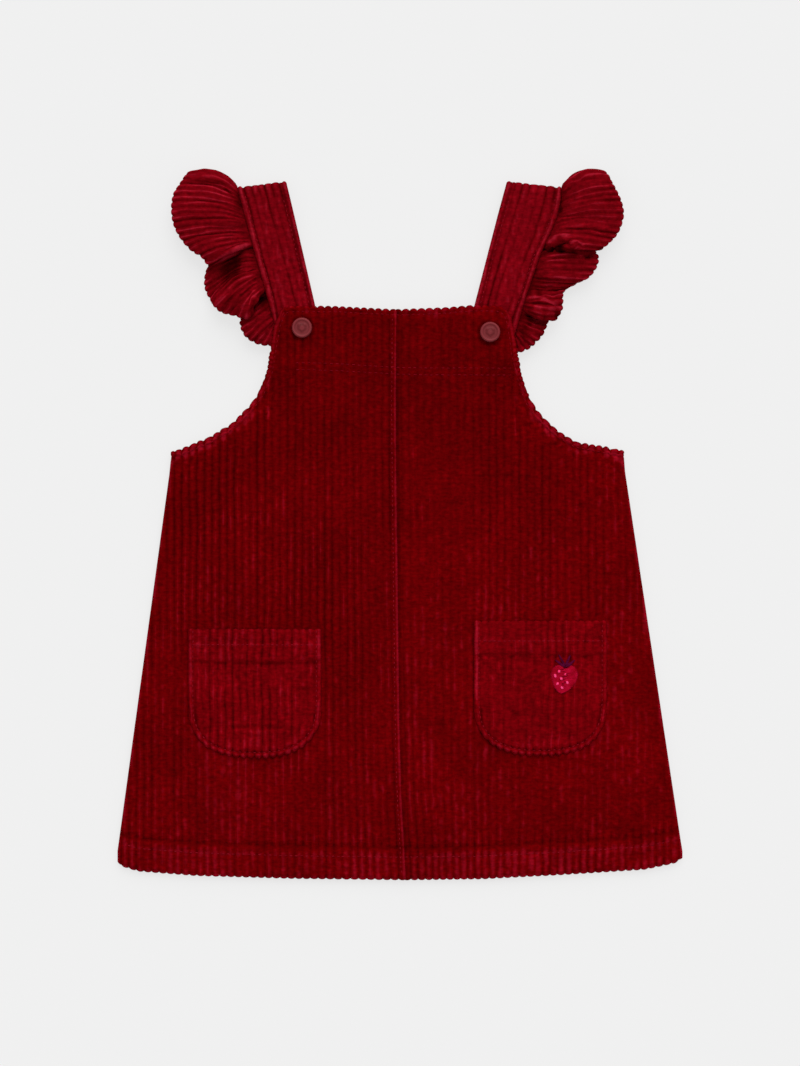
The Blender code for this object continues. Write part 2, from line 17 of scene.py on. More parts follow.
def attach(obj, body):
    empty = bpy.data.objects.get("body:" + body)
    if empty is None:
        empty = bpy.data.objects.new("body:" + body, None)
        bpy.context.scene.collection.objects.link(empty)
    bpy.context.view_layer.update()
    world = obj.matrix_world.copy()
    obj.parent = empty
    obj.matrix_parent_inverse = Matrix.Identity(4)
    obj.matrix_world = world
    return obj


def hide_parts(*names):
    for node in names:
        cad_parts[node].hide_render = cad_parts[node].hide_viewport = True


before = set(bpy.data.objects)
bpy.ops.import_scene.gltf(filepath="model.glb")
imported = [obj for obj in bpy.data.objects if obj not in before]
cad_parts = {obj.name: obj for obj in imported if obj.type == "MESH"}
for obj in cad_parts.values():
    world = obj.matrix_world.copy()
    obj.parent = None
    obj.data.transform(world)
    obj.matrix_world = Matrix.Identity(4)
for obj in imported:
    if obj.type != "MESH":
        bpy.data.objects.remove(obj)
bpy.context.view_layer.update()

MM = 0.001
ORIGIN_Y = 217.0
SEAM_GAP = 0.3
NOISE_CELLS = 128          # noise repeats after so many cells
TONES = (-1.0, 1.6)         # painted shade below 0, a groove's bottom at 0, a crest at 1, worn pile and painted highlight above
WHITE = (1.0, 1.0, 1.0, 1.0)

# Corduroy
WALE_HEIGHT = 0.95
WALE_POWER = 2.3           # 2 is round, more is flatter with a narrower groove
FRONT_CLOTH = 1.4
BACK_CLOTH = 2.0
EDGE_CLOTH = 0.7
EDGE_ROUND = 2.2           # a folded edge rounds off within this
SCALLOP = 0.6
HEM_SCALLOP = 0.42
HALF_WALES = 75
RISING = (0.0, 0.16, 0.4, 0.7)    # shares of a half wale, from groove to ridge
FALLING = (0.0, 0.3, 0.6, 0.84)   # and from ridge to groove
WOBBLE = 0.38              # how far a wale wanders sideways
BEADS = 0.16               # unevenness along each wale's crown

# Front panels
FRONT_HALF_WIDTH = 172.5
SIDE_CORNER_HEIGHT = 4.0
PUFF_HEIGHT = 3.2
PUFF_REACH = 50.0
SEAM_OVERLAP = {-1: 0.7, 1: 1.4}   # past the centre seam; the left front is on top
SEAM_LAP = 0.8
SEAM_LAP_REACH = (1.5, 7.0)
DRIFT_REACH = 60.0
UNDER_BIB_Z = 6.6
BIB_RISE = (290.0, 319.0)
BIB_SAG = 0.55
BIB_SAG_REACH = (3.0, 22.0)
FRONT_ROWS = 230
NEAR_EDGE = (0.0, 0.25, 0.6, 1.1, 1.8, 2.5, 3.0, 3.5, 4.3)   # rows close to an edge
CORNER_REACH = 3.0
FREE_REACH = 6.0           # the wales wander only this far from an edge
HEM_TURN = 0.5             # the turned hem stands this much prouder
# Spans: where they rise from 0 to 1, and where they fall back
HEM_TURN_SPAN = (0.5, 3.0, 17.5, 20.0)
ROLLED_SPAN = (257.0, 264.0, 341.0, 348.0)
DEEP_SPAN = (120.0, 160.0, 262.0, 300.0)
CREASE_SPAN = (-0.15, 0.35, 0.65, 1.15)
ARMHOLE_FROM = (245.0, 262.0)      # the armhole edge's relief sets in

HEM = (  # x, y
    (-172.6, 11.9), (-170.6, 8.9), (-159.8, 5.6), (-124.4, 2.9), (-66.5, 1.2), (0.0, 0.3),
    (50.0, 0.9), (99.4, 3.5), (149.5, 6.7), (168.4, 10.7), (172.5, 14.0),
)
LEFT_UPPER_EDGE = (  # x, y: side seam, underarm corner, armhole, bib corner, neck
    (-172.6, 17.0), (-140.3, 252.0), (-139.9, 261.5), (-133.0, 263.4), (-117.5, 269.7),
    (-102.9, 278.5), (-92.2, 289.2), (-85.9, 298.0), (-81.0, 309.6), (-78.1, 326.2),
    (-76.3, 338.6), (-72.0, 348.4), (-67.0, 350.0), (-36.6, 349.8), (0.0, 348.0),
)
RIGHT_UPPER_EDGE = (  # x, y
    (0.0, 348.0), (30.5, 349.2), (45.5, 350.4), (60.4, 350.0), (65.1, 347.6), (67.6, 342.7),
    (69.5, 334.0), (71.0, 321.3), (74.4, 307.7), (78.8, 294.0), (84.6, 285.3), (97.2, 273.6),
    (108.0, 267.3), (128.0, 263.5), (136.6, 261.8), (137.3, 250.4), (172.5, 17.0),
)
SEAM_DRIFT = (  # y, x of the centre seam
    (0.0, 3.3), (20.0, 2.4), (50.0, 0.7), (93.0, -0.6), (150.0, -1.3), (200.0, -1.9),
    (244.0, -2.4), (290.0, -2.8), (350.0, -2.3),
)
FOLDS = (  # x at the top, x at the foot, y at the top, y at the foot, half width, height
    (-104.0, -108.0, 300.0, 150.0, 9.0, -1.0),
    (-84.0, -86.0, 310.0, 175.0, 8.0, 0.8),
    (-62.0, -60.0, 285.0, 160.0, 9.0, -1.1),
    (-40.0, -42.0, 300.0, 130.0, 10.0, 0.7),
    (-22.0, -20.0, 250.0, 60.0, 7.0, -0.7),
    (28.0, 30.0, 290.0, 120.0, 9.0, -0.7),
    (62.0, 66.0, 300.0, 170.0, 11.0, 0.6),
    (98.0, 104.0, 262.0, 165.0, 9.0, -0.8),
    (-128.0, -146.0, 245.0, 70.0, 8.0, -0.8),
    (126.0, 146.0, 245.0, 60.0, 8.0, -0.7),
    (-60.0, -62.0, 72.0, 8.0, 12.0, -0.8),
    (78.0, 84.0, 70.0, 8.0, 13.0, -0.8),
)
CREASES = (  # x, y of both ends, half width, height
    (-133.0, 258.0, -120.0, 246.0, 2.4, -0.5), (-128.0, 262.0, -108.0, 258.0, 2.6, 0.4),
    (-136.0, 247.0, -127.0, 228.0, 3.0, -0.5), (131.0, 257.0, 117.0, 246.0, 2.6, -0.5),
    (126.0, 260.0, 104.0, 259.0, 2.6, 0.4), (134.0, 246.0, 126.0, 224.0, 3.0, -0.5),
    (-70.0, 309.0, -52.0, 296.0, 3.2, -0.4), (64.0, 308.0, 50.0, 293.0, 3.0, -0.4),
    (-30.0, 304.0, 22.0, 301.0, 3.4, -0.35), (-150.0, 24.0, -128.0, 33.0, 3.4, -0.4),
    (-46.0, 24.0, -20.0, 30.0, 3.2, -0.35), (24.0, 26.0, 58.0, 31.0, 3.6, -0.4),
    (118.0, 31.0, 150.0, 27.0, 3.6, -0.4), (-95.0, 246.0, -89.0, 196.0, 2.6, -0.45),
    (-120.0, 236.0, -124.0, 186.0, 3.0, 0.4), (74.0, 262.0, 81.0, 204.0, 3.0, -0.35),
    (-8.0, 236.0, -9.0, 170.0, 3.0, -0.3), (9.0, 130.0, 12.0, 64.0, 3.0, -0.3),
)
PUCKERS = (  # as CREASES, the height also painted as a tone, with painted shade in the pits and light on the raised cloth: pulled cloth below the underarm corners
    (124.6, 257.6, 128.2, 255.4, 0.8, -0.9), (128.4, 255.0, 131.6, 252.4, 0.9, -1.0),
    (131.0, 257.8, 134.6, 255.8, 0.9, 0.6), (120.6, 259.6, 123.6, 257.8, 0.8, -0.6),
    (132.6, 251.2, 135.6, 248.6, 0.8, -0.6), (-137.4, 254.6, -133.6, 253.6, 0.8, -0.9),
    (-133.0, 253.8, -130.0, 252.8, 0.8, -0.8), (-137.6, 258.6, -133.4, 257.0, 0.9, 0.6),
    (-129.0, 257.6, -125.4, 257.2, 0.8, -0.5),
)
CAP_SHADOW_DROP = 0.5      # a cap's shadow lies this much lower

# Back
BACK_INSET = 1.5
BACK_EDGE_INSET = 1.3
BACK_NECK_Y = 345.0
BACK_ROWS = 110

# Patch pockets
POCKET_CLOTH = 1.2
POCKET_ROUND = 33.0
POCKET_POWER = 2.5
POCKET_HALF_WALES = 36
POCKET_ROWS = 76
POCKET_LOOKS = {  # depth of the turned band, its stitches from the top, depth of grooves, tone
    "pocket_left": (19.8, 9.4, 0.85, 0.86),
    "pocket_right": (20.8, 12.0, 0.58, 0.70),
}
POCKET_CREASES = {  # as CREASES
    "pocket_left": ((-110.0, 94.5, -60.0, 93.5, 1.1, -0.6), (-104.0, 92.0, -74.0, 90.5, 0.9, 0.3),
                    (-66.0, 118.0, -52.0, 116.0, 1.1, -0.4), (-112.0, 106.0, -96.0, 108.5, 1.2, -0.35),
                    (-78.0, 112.0, -62.0, 109.0, 1.1, -0.3), (-120.0, 138.0, -116.0, 120.0, 1.0, 0.3)),
    "pocket_right": ((64.0, 106.5, 74.0, 99.5, 1.1, -0.6), (74.0, 96.5, 100.0, 92.0, 1.2, -0.5),
                     (84.0, 111.5, 104.0, 109.0, 1.1, -0.4), (118.5, 156.5, 123.5, 142.0, 1.1, -0.6),
                     (111.0, 147.0, 121.0, 138.0, 1.2, -0.5), (57.0, 134.0, 70.0, 137.0, 1.1, -0.3),
                     (62.0, 122.0, 78.0, 118.0, 1.2, 0.3)),
}
POCKETS = {  # middle x, foot y, width, height
    "pocket_left": (-88.4, 75.4, 81.4, 78.0),
    "pocket_right": (85.5, 76.6, 81.2, 81.8),
}

# Straps
STRAP_CLOTH = 1.5
STRAP_WALE_HEIGHT = 0.8
STRAP_WALES = 7
STRAP_END_Y = 322.0
STRAP_FOLD_Y = 419.8
STRAP_FOLD_TILT = 3.7
STRAP_BACK_END_Y = 330.0
STRAP_FRONT_Z = 4.85
STRAP_BACK_Z = 0.75
STRAP_JOIN_Z = 3.05
STRAP_JOIN_RAMP = (346.0, 356.0)
STRAP_STEP = 1.3
LEFT_STRAP = (  # y, armhole-side x, neck-side x
    (322.0, -72.0, -44.9), (338.6, -76.6, -49.0), (424.0, -100.1, -69.8),
)
RIGHT_STRAP = (  # y, armhole-side x, neck-side x
    (322.0, 66.8, 37.7), (341.3, 72.6, 43.0), (355.6, 76.9, 46.9), (381.0, 85.4, 53.8),
    (393.0, 91.2, 57.1), (402.0, 95.0, 59.5), (411.0, 97.6, 62.0), (424.0, 99.2, 65.6),
)
STRAP_GROOVES = {  # depth of each groove, armhole side first
    "strap_left": (0.0, 0.55, 0.60, 0.45, 1.50, 0.50, 1.00, 0.0),
    "strap_right": (0.0, 0.70, 1.15, 0.45, 0.75, 1.35, 0.80, 0.0),
}

# Frills
FRILL_CLOTH = 1.3
FRILL_WALE_HEIGHT = 1.0
FRILL_WALE = 3.8
FRILL_STEPS = 10           # sections in a wale
FRILL_ACROSS = 22
FRILL_SPACING_LINE = 0.8
FRILL_WALE_FADE = 12.0
FRILL_WIDTH = 26.0
FRILL_CROWDING = 1.25      # above 1 the rows crowd towards the free edge
# how dark the painted shade in the frill's hollows gets
FRILL_HOLLOW_SHADE_STRENGTH = 1.45
FRILL_TUCK = 0.8           # the gathered edge lies this far inside the strap's
CURVE_SAMPLES = 60
LEFT_FRILL_FRONT = (  # seam y, seam z, middle x, y, z, free edge x, y, z
    (337.5, 4.60, -77.0, 331.5, 4.7, -76.0, 326.0, 4.5),
    (341.0, 4.60, -82.0, 334.0, 7.2, -86.0, 327.3, 5.6),
    (345.0, 4.60, -85.5, 338.0, 10.0, -93.5, 331.3, 7.5),
    (350.0, 4.60, -88.0, 343.5, 9.5, -96.8, 338.0, 6.5),
    (354.0, 4.60, -88.0, 348.5, 6.0, -96.5, 343.0, 5.0),
    (357.0, 4.60, -87.0, 353.0, 4.0, -94.0, 347.5, 4.0),
    (359.0, 4.60, -88.8, 355.5, 6.5, -93.5, 348.0, 5.5),
    (361.5, 4.60, -88.2, 353.0, 13.0, -91.8, 342.8, 10.0),
    (364.0, 4.60, -93.0, 354.0, 14.5, -99.0, 344.0, 10.0),
    (367.0, 4.60, -97.5, 357.0, 14.0, -107.7, 346.0, 9.0),
    (369.5, 4.60, -99.8, 360.0, 14.0, -111.5, 348.6, 9.5),
    (371.5, 4.60, -100.2, 363.5, 13.5, -113.6, 351.0, 9.0),
    (373.0, 4.60, -101.5, 366.5, 8.0, -115.0, 353.5, 6.0),
    (375.5, 4.60, -101.8, 370.0, 4.0, -118.0, 358.8, 4.6),
    (379.0, 4.60, -101.8, 375.0, 3.0, -119.2, 364.0, 4.8),
    (382.0, 4.60, -101.8, 380.0, 3.0, -118.7, 370.0, 4.8),
    (384.0, 4.60, -102.5, 384.5, 4.2, -116.8, 375.5, 5.0),
    (385.5, 4.60, -104.0, 387.0, 6.5, -115.5, 379.0, 5.5),
    (387.5, 4.60, -106.0, 382.0, 12.8, -117.2, 376.5, 8.0),
    (389.5, 4.60, -109.0, 385.5, 14.8, -121.5, 380.8, 9.5),
    (392.0, 4.60, -111.5, 389.5, 15.2, -127.0, 384.2, 9.5),
    (395.0, 4.60, -113.5, 394.0, 14.8, -132.6, 390.2, 9.5),
    (399.0, 4.60, -114.8, 399.5, 14.8, -136.5, 397.0, 9.5),
    (403.0, 4.60, -115.5, 405.5, 15.2, -138.4, 403.8, 10.0),
    (407.0, 4.60, -115.5, 411.5, 14.8, -138.7, 411.6, 10.0),
    (411.0, 4.60, -114.8, 417.5, 13.5, -137.4, 418.5, 9.5),
    (414.5, 4.60, -113.5, 422.0, 11.8, -134.5, 423.4, 8.8),
    (417.5, 4.60, -112.0, 427.2, 11.0, -131.5, 428.0, 8.6),
    (420.2, 4.40, -111.5, 430.9, 7.8, -128.8, 430.9, 6.3),
)
RIGHT_FRILL_FRONT = (  # seam y, seam z, middle x, y, z, free edge x, y, z
    (330.5, 4.60, 69.2, 325.2, 4.4, 68.6, 320.4, 4.2),
    (336.0, 4.60, 76.5, 329.0, 6.6, 79.0, 325.6, 5.6),
    (339.5, 4.60, 80.0, 334.5, 8.5, 84.7, 331.5, 6.5),
    (343.0, 4.60, 83.0, 338.5, 6.5, 88.4, 338.3, 5.2),
    (345.5, 4.60, 85.0, 343.0, 4.2, 91.5, 342.5, 4.2),
    (347.5, 4.60, 86.0, 345.5, 6.5, 92.8, 344.5, 5.5),
    (349.0, 4.60, 86.5, 343.0, 11.5, 95.0, 342.8, 9.0),
    (351.0, 4.60, 87.8, 347.5, 13.0, 98.2, 347.5, 9.5),
    (354.0, 4.60, 88.5, 352.5, 12.0, 98.7, 353.3, 9.0),
    (357.5, 4.60, 89.2, 356.3, 8.0, 99.3, 358.0, 7.0),
    (361.0, 4.60, 90.5, 360.0, 5.5, 102.5, 361.3, 6.0),
    (365.0, 4.60, 93.5, 364.0, 7.5, 107.8, 364.2, 7.0),
    (369.0, 4.60, 96.5, 368.0, 9.5, 114.3, 367.2, 8.2),
    (373.0, 4.60, 98.8, 372.5, 9.8, 118.4, 371.8, 8.5),
    (377.0, 4.60, 100.0, 377.0, 8.5, 120.6, 377.0, 7.5),
    (380.5, 4.60, 100.0, 381.0, 7.4, 120.5, 381.0, 6.8),
    (383.0, 4.60, 100.0, 385.0, 7.4, 118.5, 384.3, 6.4),
    (384.5, 4.60, 100.8, 387.0, 8.6, 117.8, 387.4, 7.2),
    (386.0, 4.60, 103.0, 384.6, 11.6, 120.6, 384.8, 8.6),
    (388.5, 4.60, 106.2, 387.0, 14.5, 124.5, 386.6, 9.5),
    (391.5, 4.60, 109.2, 391.0, 15.0, 128.2, 389.5, 9.5),
    (394.5, 4.60, 111.5, 395.5, 14.6, 131.6, 393.3, 9.5),
    (398.5, 4.60, 113.5, 400.2, 14.5, 134.4, 399.0, 9.5),
    (403.0, 4.60, 114.6, 405.5, 15.0, 135.8, 406.2, 10.0),
    (407.5, 4.60, 114.6, 411.8, 14.5, 134.5, 413.3, 10.0),
    (412.0, 4.60, 113.8, 417.8, 13.0, 131.8, 419.8, 9.3),
    (415.5, 4.60, 112.5, 422.4, 11.6, 129.5, 424.0, 8.8),
    (418.5, 4.60, 110.8, 427.4, 11.0, 127.5, 428.0, 8.2),
    (420.8, 4.40, 110.2, 430.9, 7.8, 125.4, 430.8, 6.2),
)
FRILL_RELIEF = {  # x, y of both ends, half width, height: pleats and hollows
    -1: ((-94.5, 384.0, -93.0, 369.0, 3.4, 4.6), (-110.0, 376.0, -104.0, 362.0, 4.5, -1.6),
         (-116.5, 366.0, -110.0, 358.0, 3.0, -1.2), (-88.0, 361.0, -88.6, 346.0, 1.8, 1.4),
         (-92.5, 387.4, -110.5, 378.6, 1.3, 1.7), (-118.0, 401.0, -97.0, 398.0, 1.6, 0.9),
         (-128.0, 393.0, -106.0, 392.0, 1.7, -0.9), (-126.0, 413.0, -104.0, 412.0, 2.0, -1.0),
         (-131.0, 424.0, -106.0, 423.0, 2.2, -1.2), (-96.0, 352.0, -104.0, 346.5, 1.8, -1.0),
         (-86.0, 341.0, -92.0, 333.0, 2.2, -1.2), (-82.5, 340.0, -85.0, 330.0, 1.8, 1.0),
         (-97.6, 381.4, -88.6, 381.9, 0.55, -0.7), (-97.2, 379.2, -89.0, 379.8, 0.5, -0.6),
         (-96.8, 377.1, -89.8, 377.5, 0.55, -0.75), (-96.6, 374.9, -90.4, 375.2, 0.5, -0.6),
         (-96.2, 372.7, -90.2, 373.2, 0.55, -0.7), (-95.4, 370.6, -91.0, 371.2, 0.5, -0.5)),
    1: ((88.0, 387.5, 96.0, 392.0, 2.0, 3.0), (95.0, 392.0, 103.5, 390.0, 2.0, 2.0),
        (93.0, 385.8, 102.6, 388.4, 1.4, -7.0), (104.0, 389.0, 109.0, 383.0, 1.6, 1.6),
        (109.0, 383.0, 118.0, 383.0, 1.6, 1.2), (112.0, 379.5, 117.0, 380.5, 1.5, -3.5),
        (83.0, 374.0, 84.0, 364.0, 3.0, -2.0), (80.0, 356.5, 88.0, 356.0, 1.8, 1.8),
        (88.0, 356.0, 97.0, 350.5, 1.8, 1.4), (92.5, 345.5, 97.0, 344.5, 1.6, -2.0),
        (97.0, 404.0, 117.0, 403.0, 1.9, -0.9), (100.0, 413.0, 126.0, 415.0, 2.0, -1.0),
        (104.0, 398.5, 126.0, 396.0, 1.7, 0.8), (104.0, 425.0, 124.0, 427.0, 2.0, -1.1),
        (90.0, 381.0, 104.0, 382.0, 1.8, 1.0), (92.0, 371.0, 112.0, 370.0, 1.8, -0.9)),
}
FRILL_BEHIND = (  # as the front, but out from the strap: over the shoulder, then down to the back
    (421.3, 2.80, 11.0, 431.2, 4.2, 27.0, 429.0, 3.8),
    (420.3, 1.20, 10.5, 428.2, 1.2, 26.0, 425.5, 1.2),
    (410.0, 0.75, 15.0, 416.5, 0.9, 32.0, 415.0, 1.1),
    (399.0, 0.75, 17.5, 400.5, 2.4, 34.0, 398.0, 1.8),
    (387.0, 0.75, 12.0, 386.0, 0.8, 20.5, 384.0, 1.0),
    (374.0, 0.75, 9.5, 371.5, 2.3, 14.0, 369.0, 1.8),
    (362.0, 0.75, 6.5, 359.0, 0.8, 10.5, 357.0, 1.0),
    (352.0, 0.75, 5.0, 350.0, 0.8, 8.0, 348.5, 0.8),
)
FRILL_HOLLOW_SHADE_ROWS = {  # seam y, painted shade near the seam, painted shade further out: the frill's dark hollows
    -1: ((330.0, 0.0, 0.0), (352.0, 0.1, 0.0), (355.5, 0.9, 0.6), (360.5, 1.0, 1.0),
         (361.5, 0.1, 0.0), (371.5, 0.0, 0.0), (373.0, 0.0, 0.6), (375.5, 0.0, 0.75),
         (382.0, 0.1, 0.75), (386.0, 0.8, 0.9), (387.5, 0.1, 0.1), (389.5, 0.0, 0.0)),
    1: ((330.0, 0.0, 0.0), (343.0, 0.25, 0.1), (345.5, 0.35, 0.3), (348.5, 0.3, 0.3),
        (349.5, 0.1, 0.0), (357.0, 0.1, 0.0), (361.0, 0.4, 0.2), (366.0, 0.3, 0.0),
        (372.0, 0.0, 0.0), (379.0, 0.0, 0.0), (381.5, 0.25, 0.15), (385.5, 0.55, 0.4),
        (387.0, 0.1, 0.1), (389.0, 0.0, 0.0)),
}
FRILL_PAINTED_LIGHT = {  # x, y of both ends, half width, tone: painted highlights on lips and crests, painted shade in slits and hollows
    -1: ((-109.0, 379.5, -93.0, 387.5, 1.0, 0.6), (-112.0, 350.5, -99.0, 363.5, 1.0, 0.2),
         (-99.0, 363.5, -89.0, 369.5, 0.8, 0.3), (-89.5, 360.0, -87.5, 352.0, 0.9, 0.55),
         (-87.5, 352.0, -91.0, 343.5, 0.9, 0.45), (-99.5, 420.0, -98.5, 408.0, 1.4, -1.0),
         (-104.0, 384.0, -98.0, 386.0, 1.6, -0.5), (-84.0, 357.0, -82.5, 346.0, 2.0, -0.8),
         (-113.0, 348.5, -99.5, 361.0, 0.6, 0.5), (-104.0, 350.0, -92.0, 360.0, 0.7, -0.6),
         (-98.0, 347.0, -90.5, 356.0, 0.6, 0.4), (-128.0, 426.0, -108.0, 424.5, 0.8, -0.9),
         (-108.0, 424.5, -101.5, 414.0, 0.8, -0.9), (-129.0, 428.3, -110.0, 427.6, 0.8, 0.4),
         (-90.5, 388.6, -102.0, 382.6, 0.8, 1.0), (-98.5, 384.8, -112.5, 376.8, 0.8, 0.9),
         (-95.0, 389.8, -110.0, 382.0, 0.7, 0.5), (-92.5, 390.0, -84.5, 388.0, 0.8, 0.5),
         (-96.5, 384.0, -107.5, 377.6, 0.7, -0.9), (-108.0, 352.0, -92.0, 371.0, 3.6, -0.4),
         (-97.6, 381.4, -88.6, 381.9, 0.6, -0.7), (-97.2, 379.2, -89.0, 379.8, 0.55, -0.6),
         (-96.8, 377.1, -89.8, 377.5, 0.6, -0.8), (-96.6, 374.9, -90.4, 375.2, 0.55, -0.6),
         (-96.2, 372.7, -90.2, 373.2, 0.6, -0.7), (-95.4, 370.6, -91.0, 371.2, 0.55, -0.6),
         (-97.8, 380.3, -89.0, 380.8, 0.7, 0.5), (-97.0, 376.0, -89.4, 376.4, 0.7, 0.55),
         (-96.4, 371.6, -90.0, 372.1, 0.7, 0.5), (-112.0, 349.0, -101.0, 360.5, 0.7, 0.5),
         (-110.0, 347.6, -98.0, 359.5, 0.55, -0.7), (-106.0, 347.2, -95.0, 358.0, 0.6, 0.4),
         (-103.0, 346.0, -94.0, 355.0, 0.55, -0.7), (-91.5, 343.2, -95.5, 346.0, 1.2, 0.4)),
    1: ((88.0, 388.0, 96.0, 392.5, 1.2, 0.5), (96.0, 392.5, 103.5, 390.0, 1.0, 0.5),
        (92.6, 385.8, 102.8, 388.4, 0.95, -3.4), (96.8, 383.4, 100.4, 384.2, 1.3, -2.6),
        (104.0, 389.0, 109.0, 383.0, 0.8, 0.7),
        (112.2, 379.4, 116.2, 379.6, 1.5, -3.4), (119.0, 383.6, 123.5, 385.5, 1.5, -2.0),
        (88.0, 387.0, 96.5, 392.6, 0.6, 0.8), (96.5, 393.4, 104.0, 391.0, 0.6, 0.7),
        (87.6, 389.6, 88.2, 383.8, 0.9, -1.6), (90.5, 384.8, 99.5, 387.2, 1.1, -1.5),
        (104.5, 386.0, 108.0, 380.0, 1.3, -0.9), (106.0, 389.5, 113.0, 385.5, 0.7, 0.6),
        (75.5, 354.4, 84.5, 355.4, 0.9, 1.0), (81.5, 355.6, 91.0, 352.4, 0.9, 1.0),
        (88.5, 353.4, 97.0, 348.6, 0.9, 1.0), (95.8, 350.0, 97.4, 345.8, 0.8, 0.7),
        (74.6, 347.6, 78.4, 347.6, 2.0, 0.6), (81.6, 348.6, 87.0, 348.2, 2.1, 0.7),
        (88.8, 347.4, 94.6, 346.8, 1.9, 0.7), (81.8, 341.0, 87.0, 340.6, 2.1, 0.6),
        (78.4, 345.6, 78.8, 337.4, 1.4, -0.9), (88.0, 346.6, 87.6, 342.0, 0.8, -0.7),
        (81.0, 351.8, 93.0, 350.6, 0.7, -0.7), (92.6, 368.4, 104.6, 366.6, 0.6, 0.7),
        (84.0, 362.5, 85.0, 352.0, 1.6, -0.5),
        (93.0, 345.0, 97.5, 344.0, 1.6, -1.4), (74.5, 339.0, 78.0, 330.0, 3.0, -0.6),
        (97.4, 418.0, 97.8, 405.0, 1.3, -1.2), (98.0, 398.4, 112.0, 398.0, 0.8, 0.45),
        (112.0, 398.0, 124.0, 392.0, 0.8, 0.35), (82.0, 345.0, 90.0, 341.0, 2.2, 0.4)),
}

# Snap fasteners
SNAP_RADIUS = 6.2
SNAP_STEPS = 72
CAP_TOP = 1.75
CAP_PROFILE = (  # radius, height: from the dished middle over the rim to the foot
    (0.4, 1.75), (0.8, 1.75), (1.2, 1.75), (1.6, 1.75), (2.0, 1.75), (2.4, 1.74), (2.8, 1.73),
    (3.2, 1.71), (3.6, 1.69), (4.0, 1.68), (4.3, 1.74), (4.6, 1.92), (4.9, 2.12), (5.2, 2.2),
    (5.5, 2.14), (5.85, 1.85), (6.1, 1.35), (6.2, 0.8), (6.0, 0.3), (5.7, 0.0),
)
HEART_SIZE = 2.2
HEART_LIFT = 0.4
SNAPS = (  # name, x, y
    ("snap_cap_left", -59.6, 336.8),
    ("snap_cap_right", 54.8, 334.2),
)

# The armholes' turned edges
ROLL_STEP = 0.45
ROLL_SIDES = 14
ROLL_MIDDLE = 1.45
ROLL_HALF_WIDTH = 1.8
ROLL_HALF_HEIGHT = 1.25
ROLL_BEAD_PITCH = 3.1      # where the edge runs along the wales
ROLL_FOOT_Y = 258.0
ROLL_ENDS_X = (-70.5, 65.5)
ROLL_PLAIN_FROM = (321.0, 332.0)   # the roll loses its beads between these heights
ROLL_BASE = 1.25           # above the front's inner face
ROLL_TUCK = 1.1            # the front's own edge stops this far inside

# Rows of stitching
STITCH = 2.3
STITCH_GAP = 0.9
STITCH_HALF_WIDTH = 0.26
HEM_STITCH_Y = 14.0
HEM_CREASE_Y = 20.0
EDGE_STITCH = 3.2          # from an armhole or neck edge
SEAM_STITCH = 2.3          # left of the centre seam
FACING_ROWS = (312.4, 308.2)
FACING_ENDS = (-50.0, 70.0)
FACING_LIFT = 3.1          # both rows drift up to the left
FACING_SPAN = (FACING_ENDS[0] - 18.0, FACING_ENDS[0], FACING_ENDS[1] - 2.0, FACING_ENDS[1] + 2.0)
FACING_RINGS = ((-72.6, 317.3), (68.9, 313.9))   # where the facing is caught down
FACING_STITCH = (2.6, 0.8)         # length and gap
SEAM_STITCH_SIZE = (1.9, 1.0)
PATCH_STITCH = (2.1, 0.9)
EDGE_STITCH_FOOT_Y = 256.0
HEM_STITCH_REACH = 167.0
SEAM_STITCH_SPAN = (4.0, 343.0)
STRAP_STITCH_SPAN = (351.5, 418.0)
STRAP_STITCH_INSETS = ((1, 3.7), (2, -3.2))   # column of the strap's table, how far inside it
POCKET_STITCH = 3.1        # from the pocket's edge
STITCH_SWAY = 0.12
THREAD_SIDES = 6
THREAD_FLATNESS = 0.75
STITCH_SINK = 0.35

# Strawberry
BERRY_MIDDLE = (99.8, 123.3)
BERRY_PITCH = 0.42
BERRY_ROWS = (  # height above the middle, reach to the left and to the right
    (-8.4, -2.6, -0.2), (-7.9, -3.7, 1.3), (-7.1, -4.7, 2.9), (-6.0, -5.7, 4.3), (-4.4, -6.7, 5.9),
    (-2.4, -7.5, 7.3), (0.9, -8.4, 8.6), (3.3, -8.6, 8.7), (5.8, -8.0, 7.7), (7.2, -6.9, 6.4),
    (8.1, -5.5, 4.6),
)
BERRY_NOTCH = (0.9, 6.4)   # x of the dip between the shoulders, and the height where it starts
LEAVES = (  # from the stalk: x, y halfway and x, y of the tip, half width
    (-3.2, 1.0, -6.4, 3.8, 0.55), (-2.0, 3.2, -4.2, 7.2, 0.5), (1.4, 3.6, 3.1, 6.9, 0.5),
    (3.8, 1.3, 6.1, 3.8, 0.55),
)
STALK = (0.7, 7.9)         # above the berry's middle
SEEDS = (  # x, y from the berry's middle, turn in degrees, length
    (-3.2, 4.6, 4.0, 2.0), (-5.5, 1.9, -6.0, 2.7), (0.4, 2.9, 8.0, 1.8), (-1.8, 0.2, -14.0, 2.1),
    (1.9, -2.2, -16.0, 2.0), (-4.1, -2.9, 12.0, 2.0), (-1.4, -5.3, -12.0, 2.0),
)

# Floor, light and camera, in metres, degrees and shares of white
FLOOR_REACH = 12.0
FLOOR_Z = -0.0002          # just under the cloth that lies on it
PAPER_COLOR = (0.16, 0.16, 0.16, 1.0)
PAPER_GLOW = 0.714
SKY_STRENGTH = 0.56
SUN_ENERGY = 2.05
SUN_ANGLE = 55.0
SUN_FROM = (0.12, 0.75, 0.66)
CAMERA_LENS = 85.0
CAMERA_AT = (0.0, -0.005, 1.54)
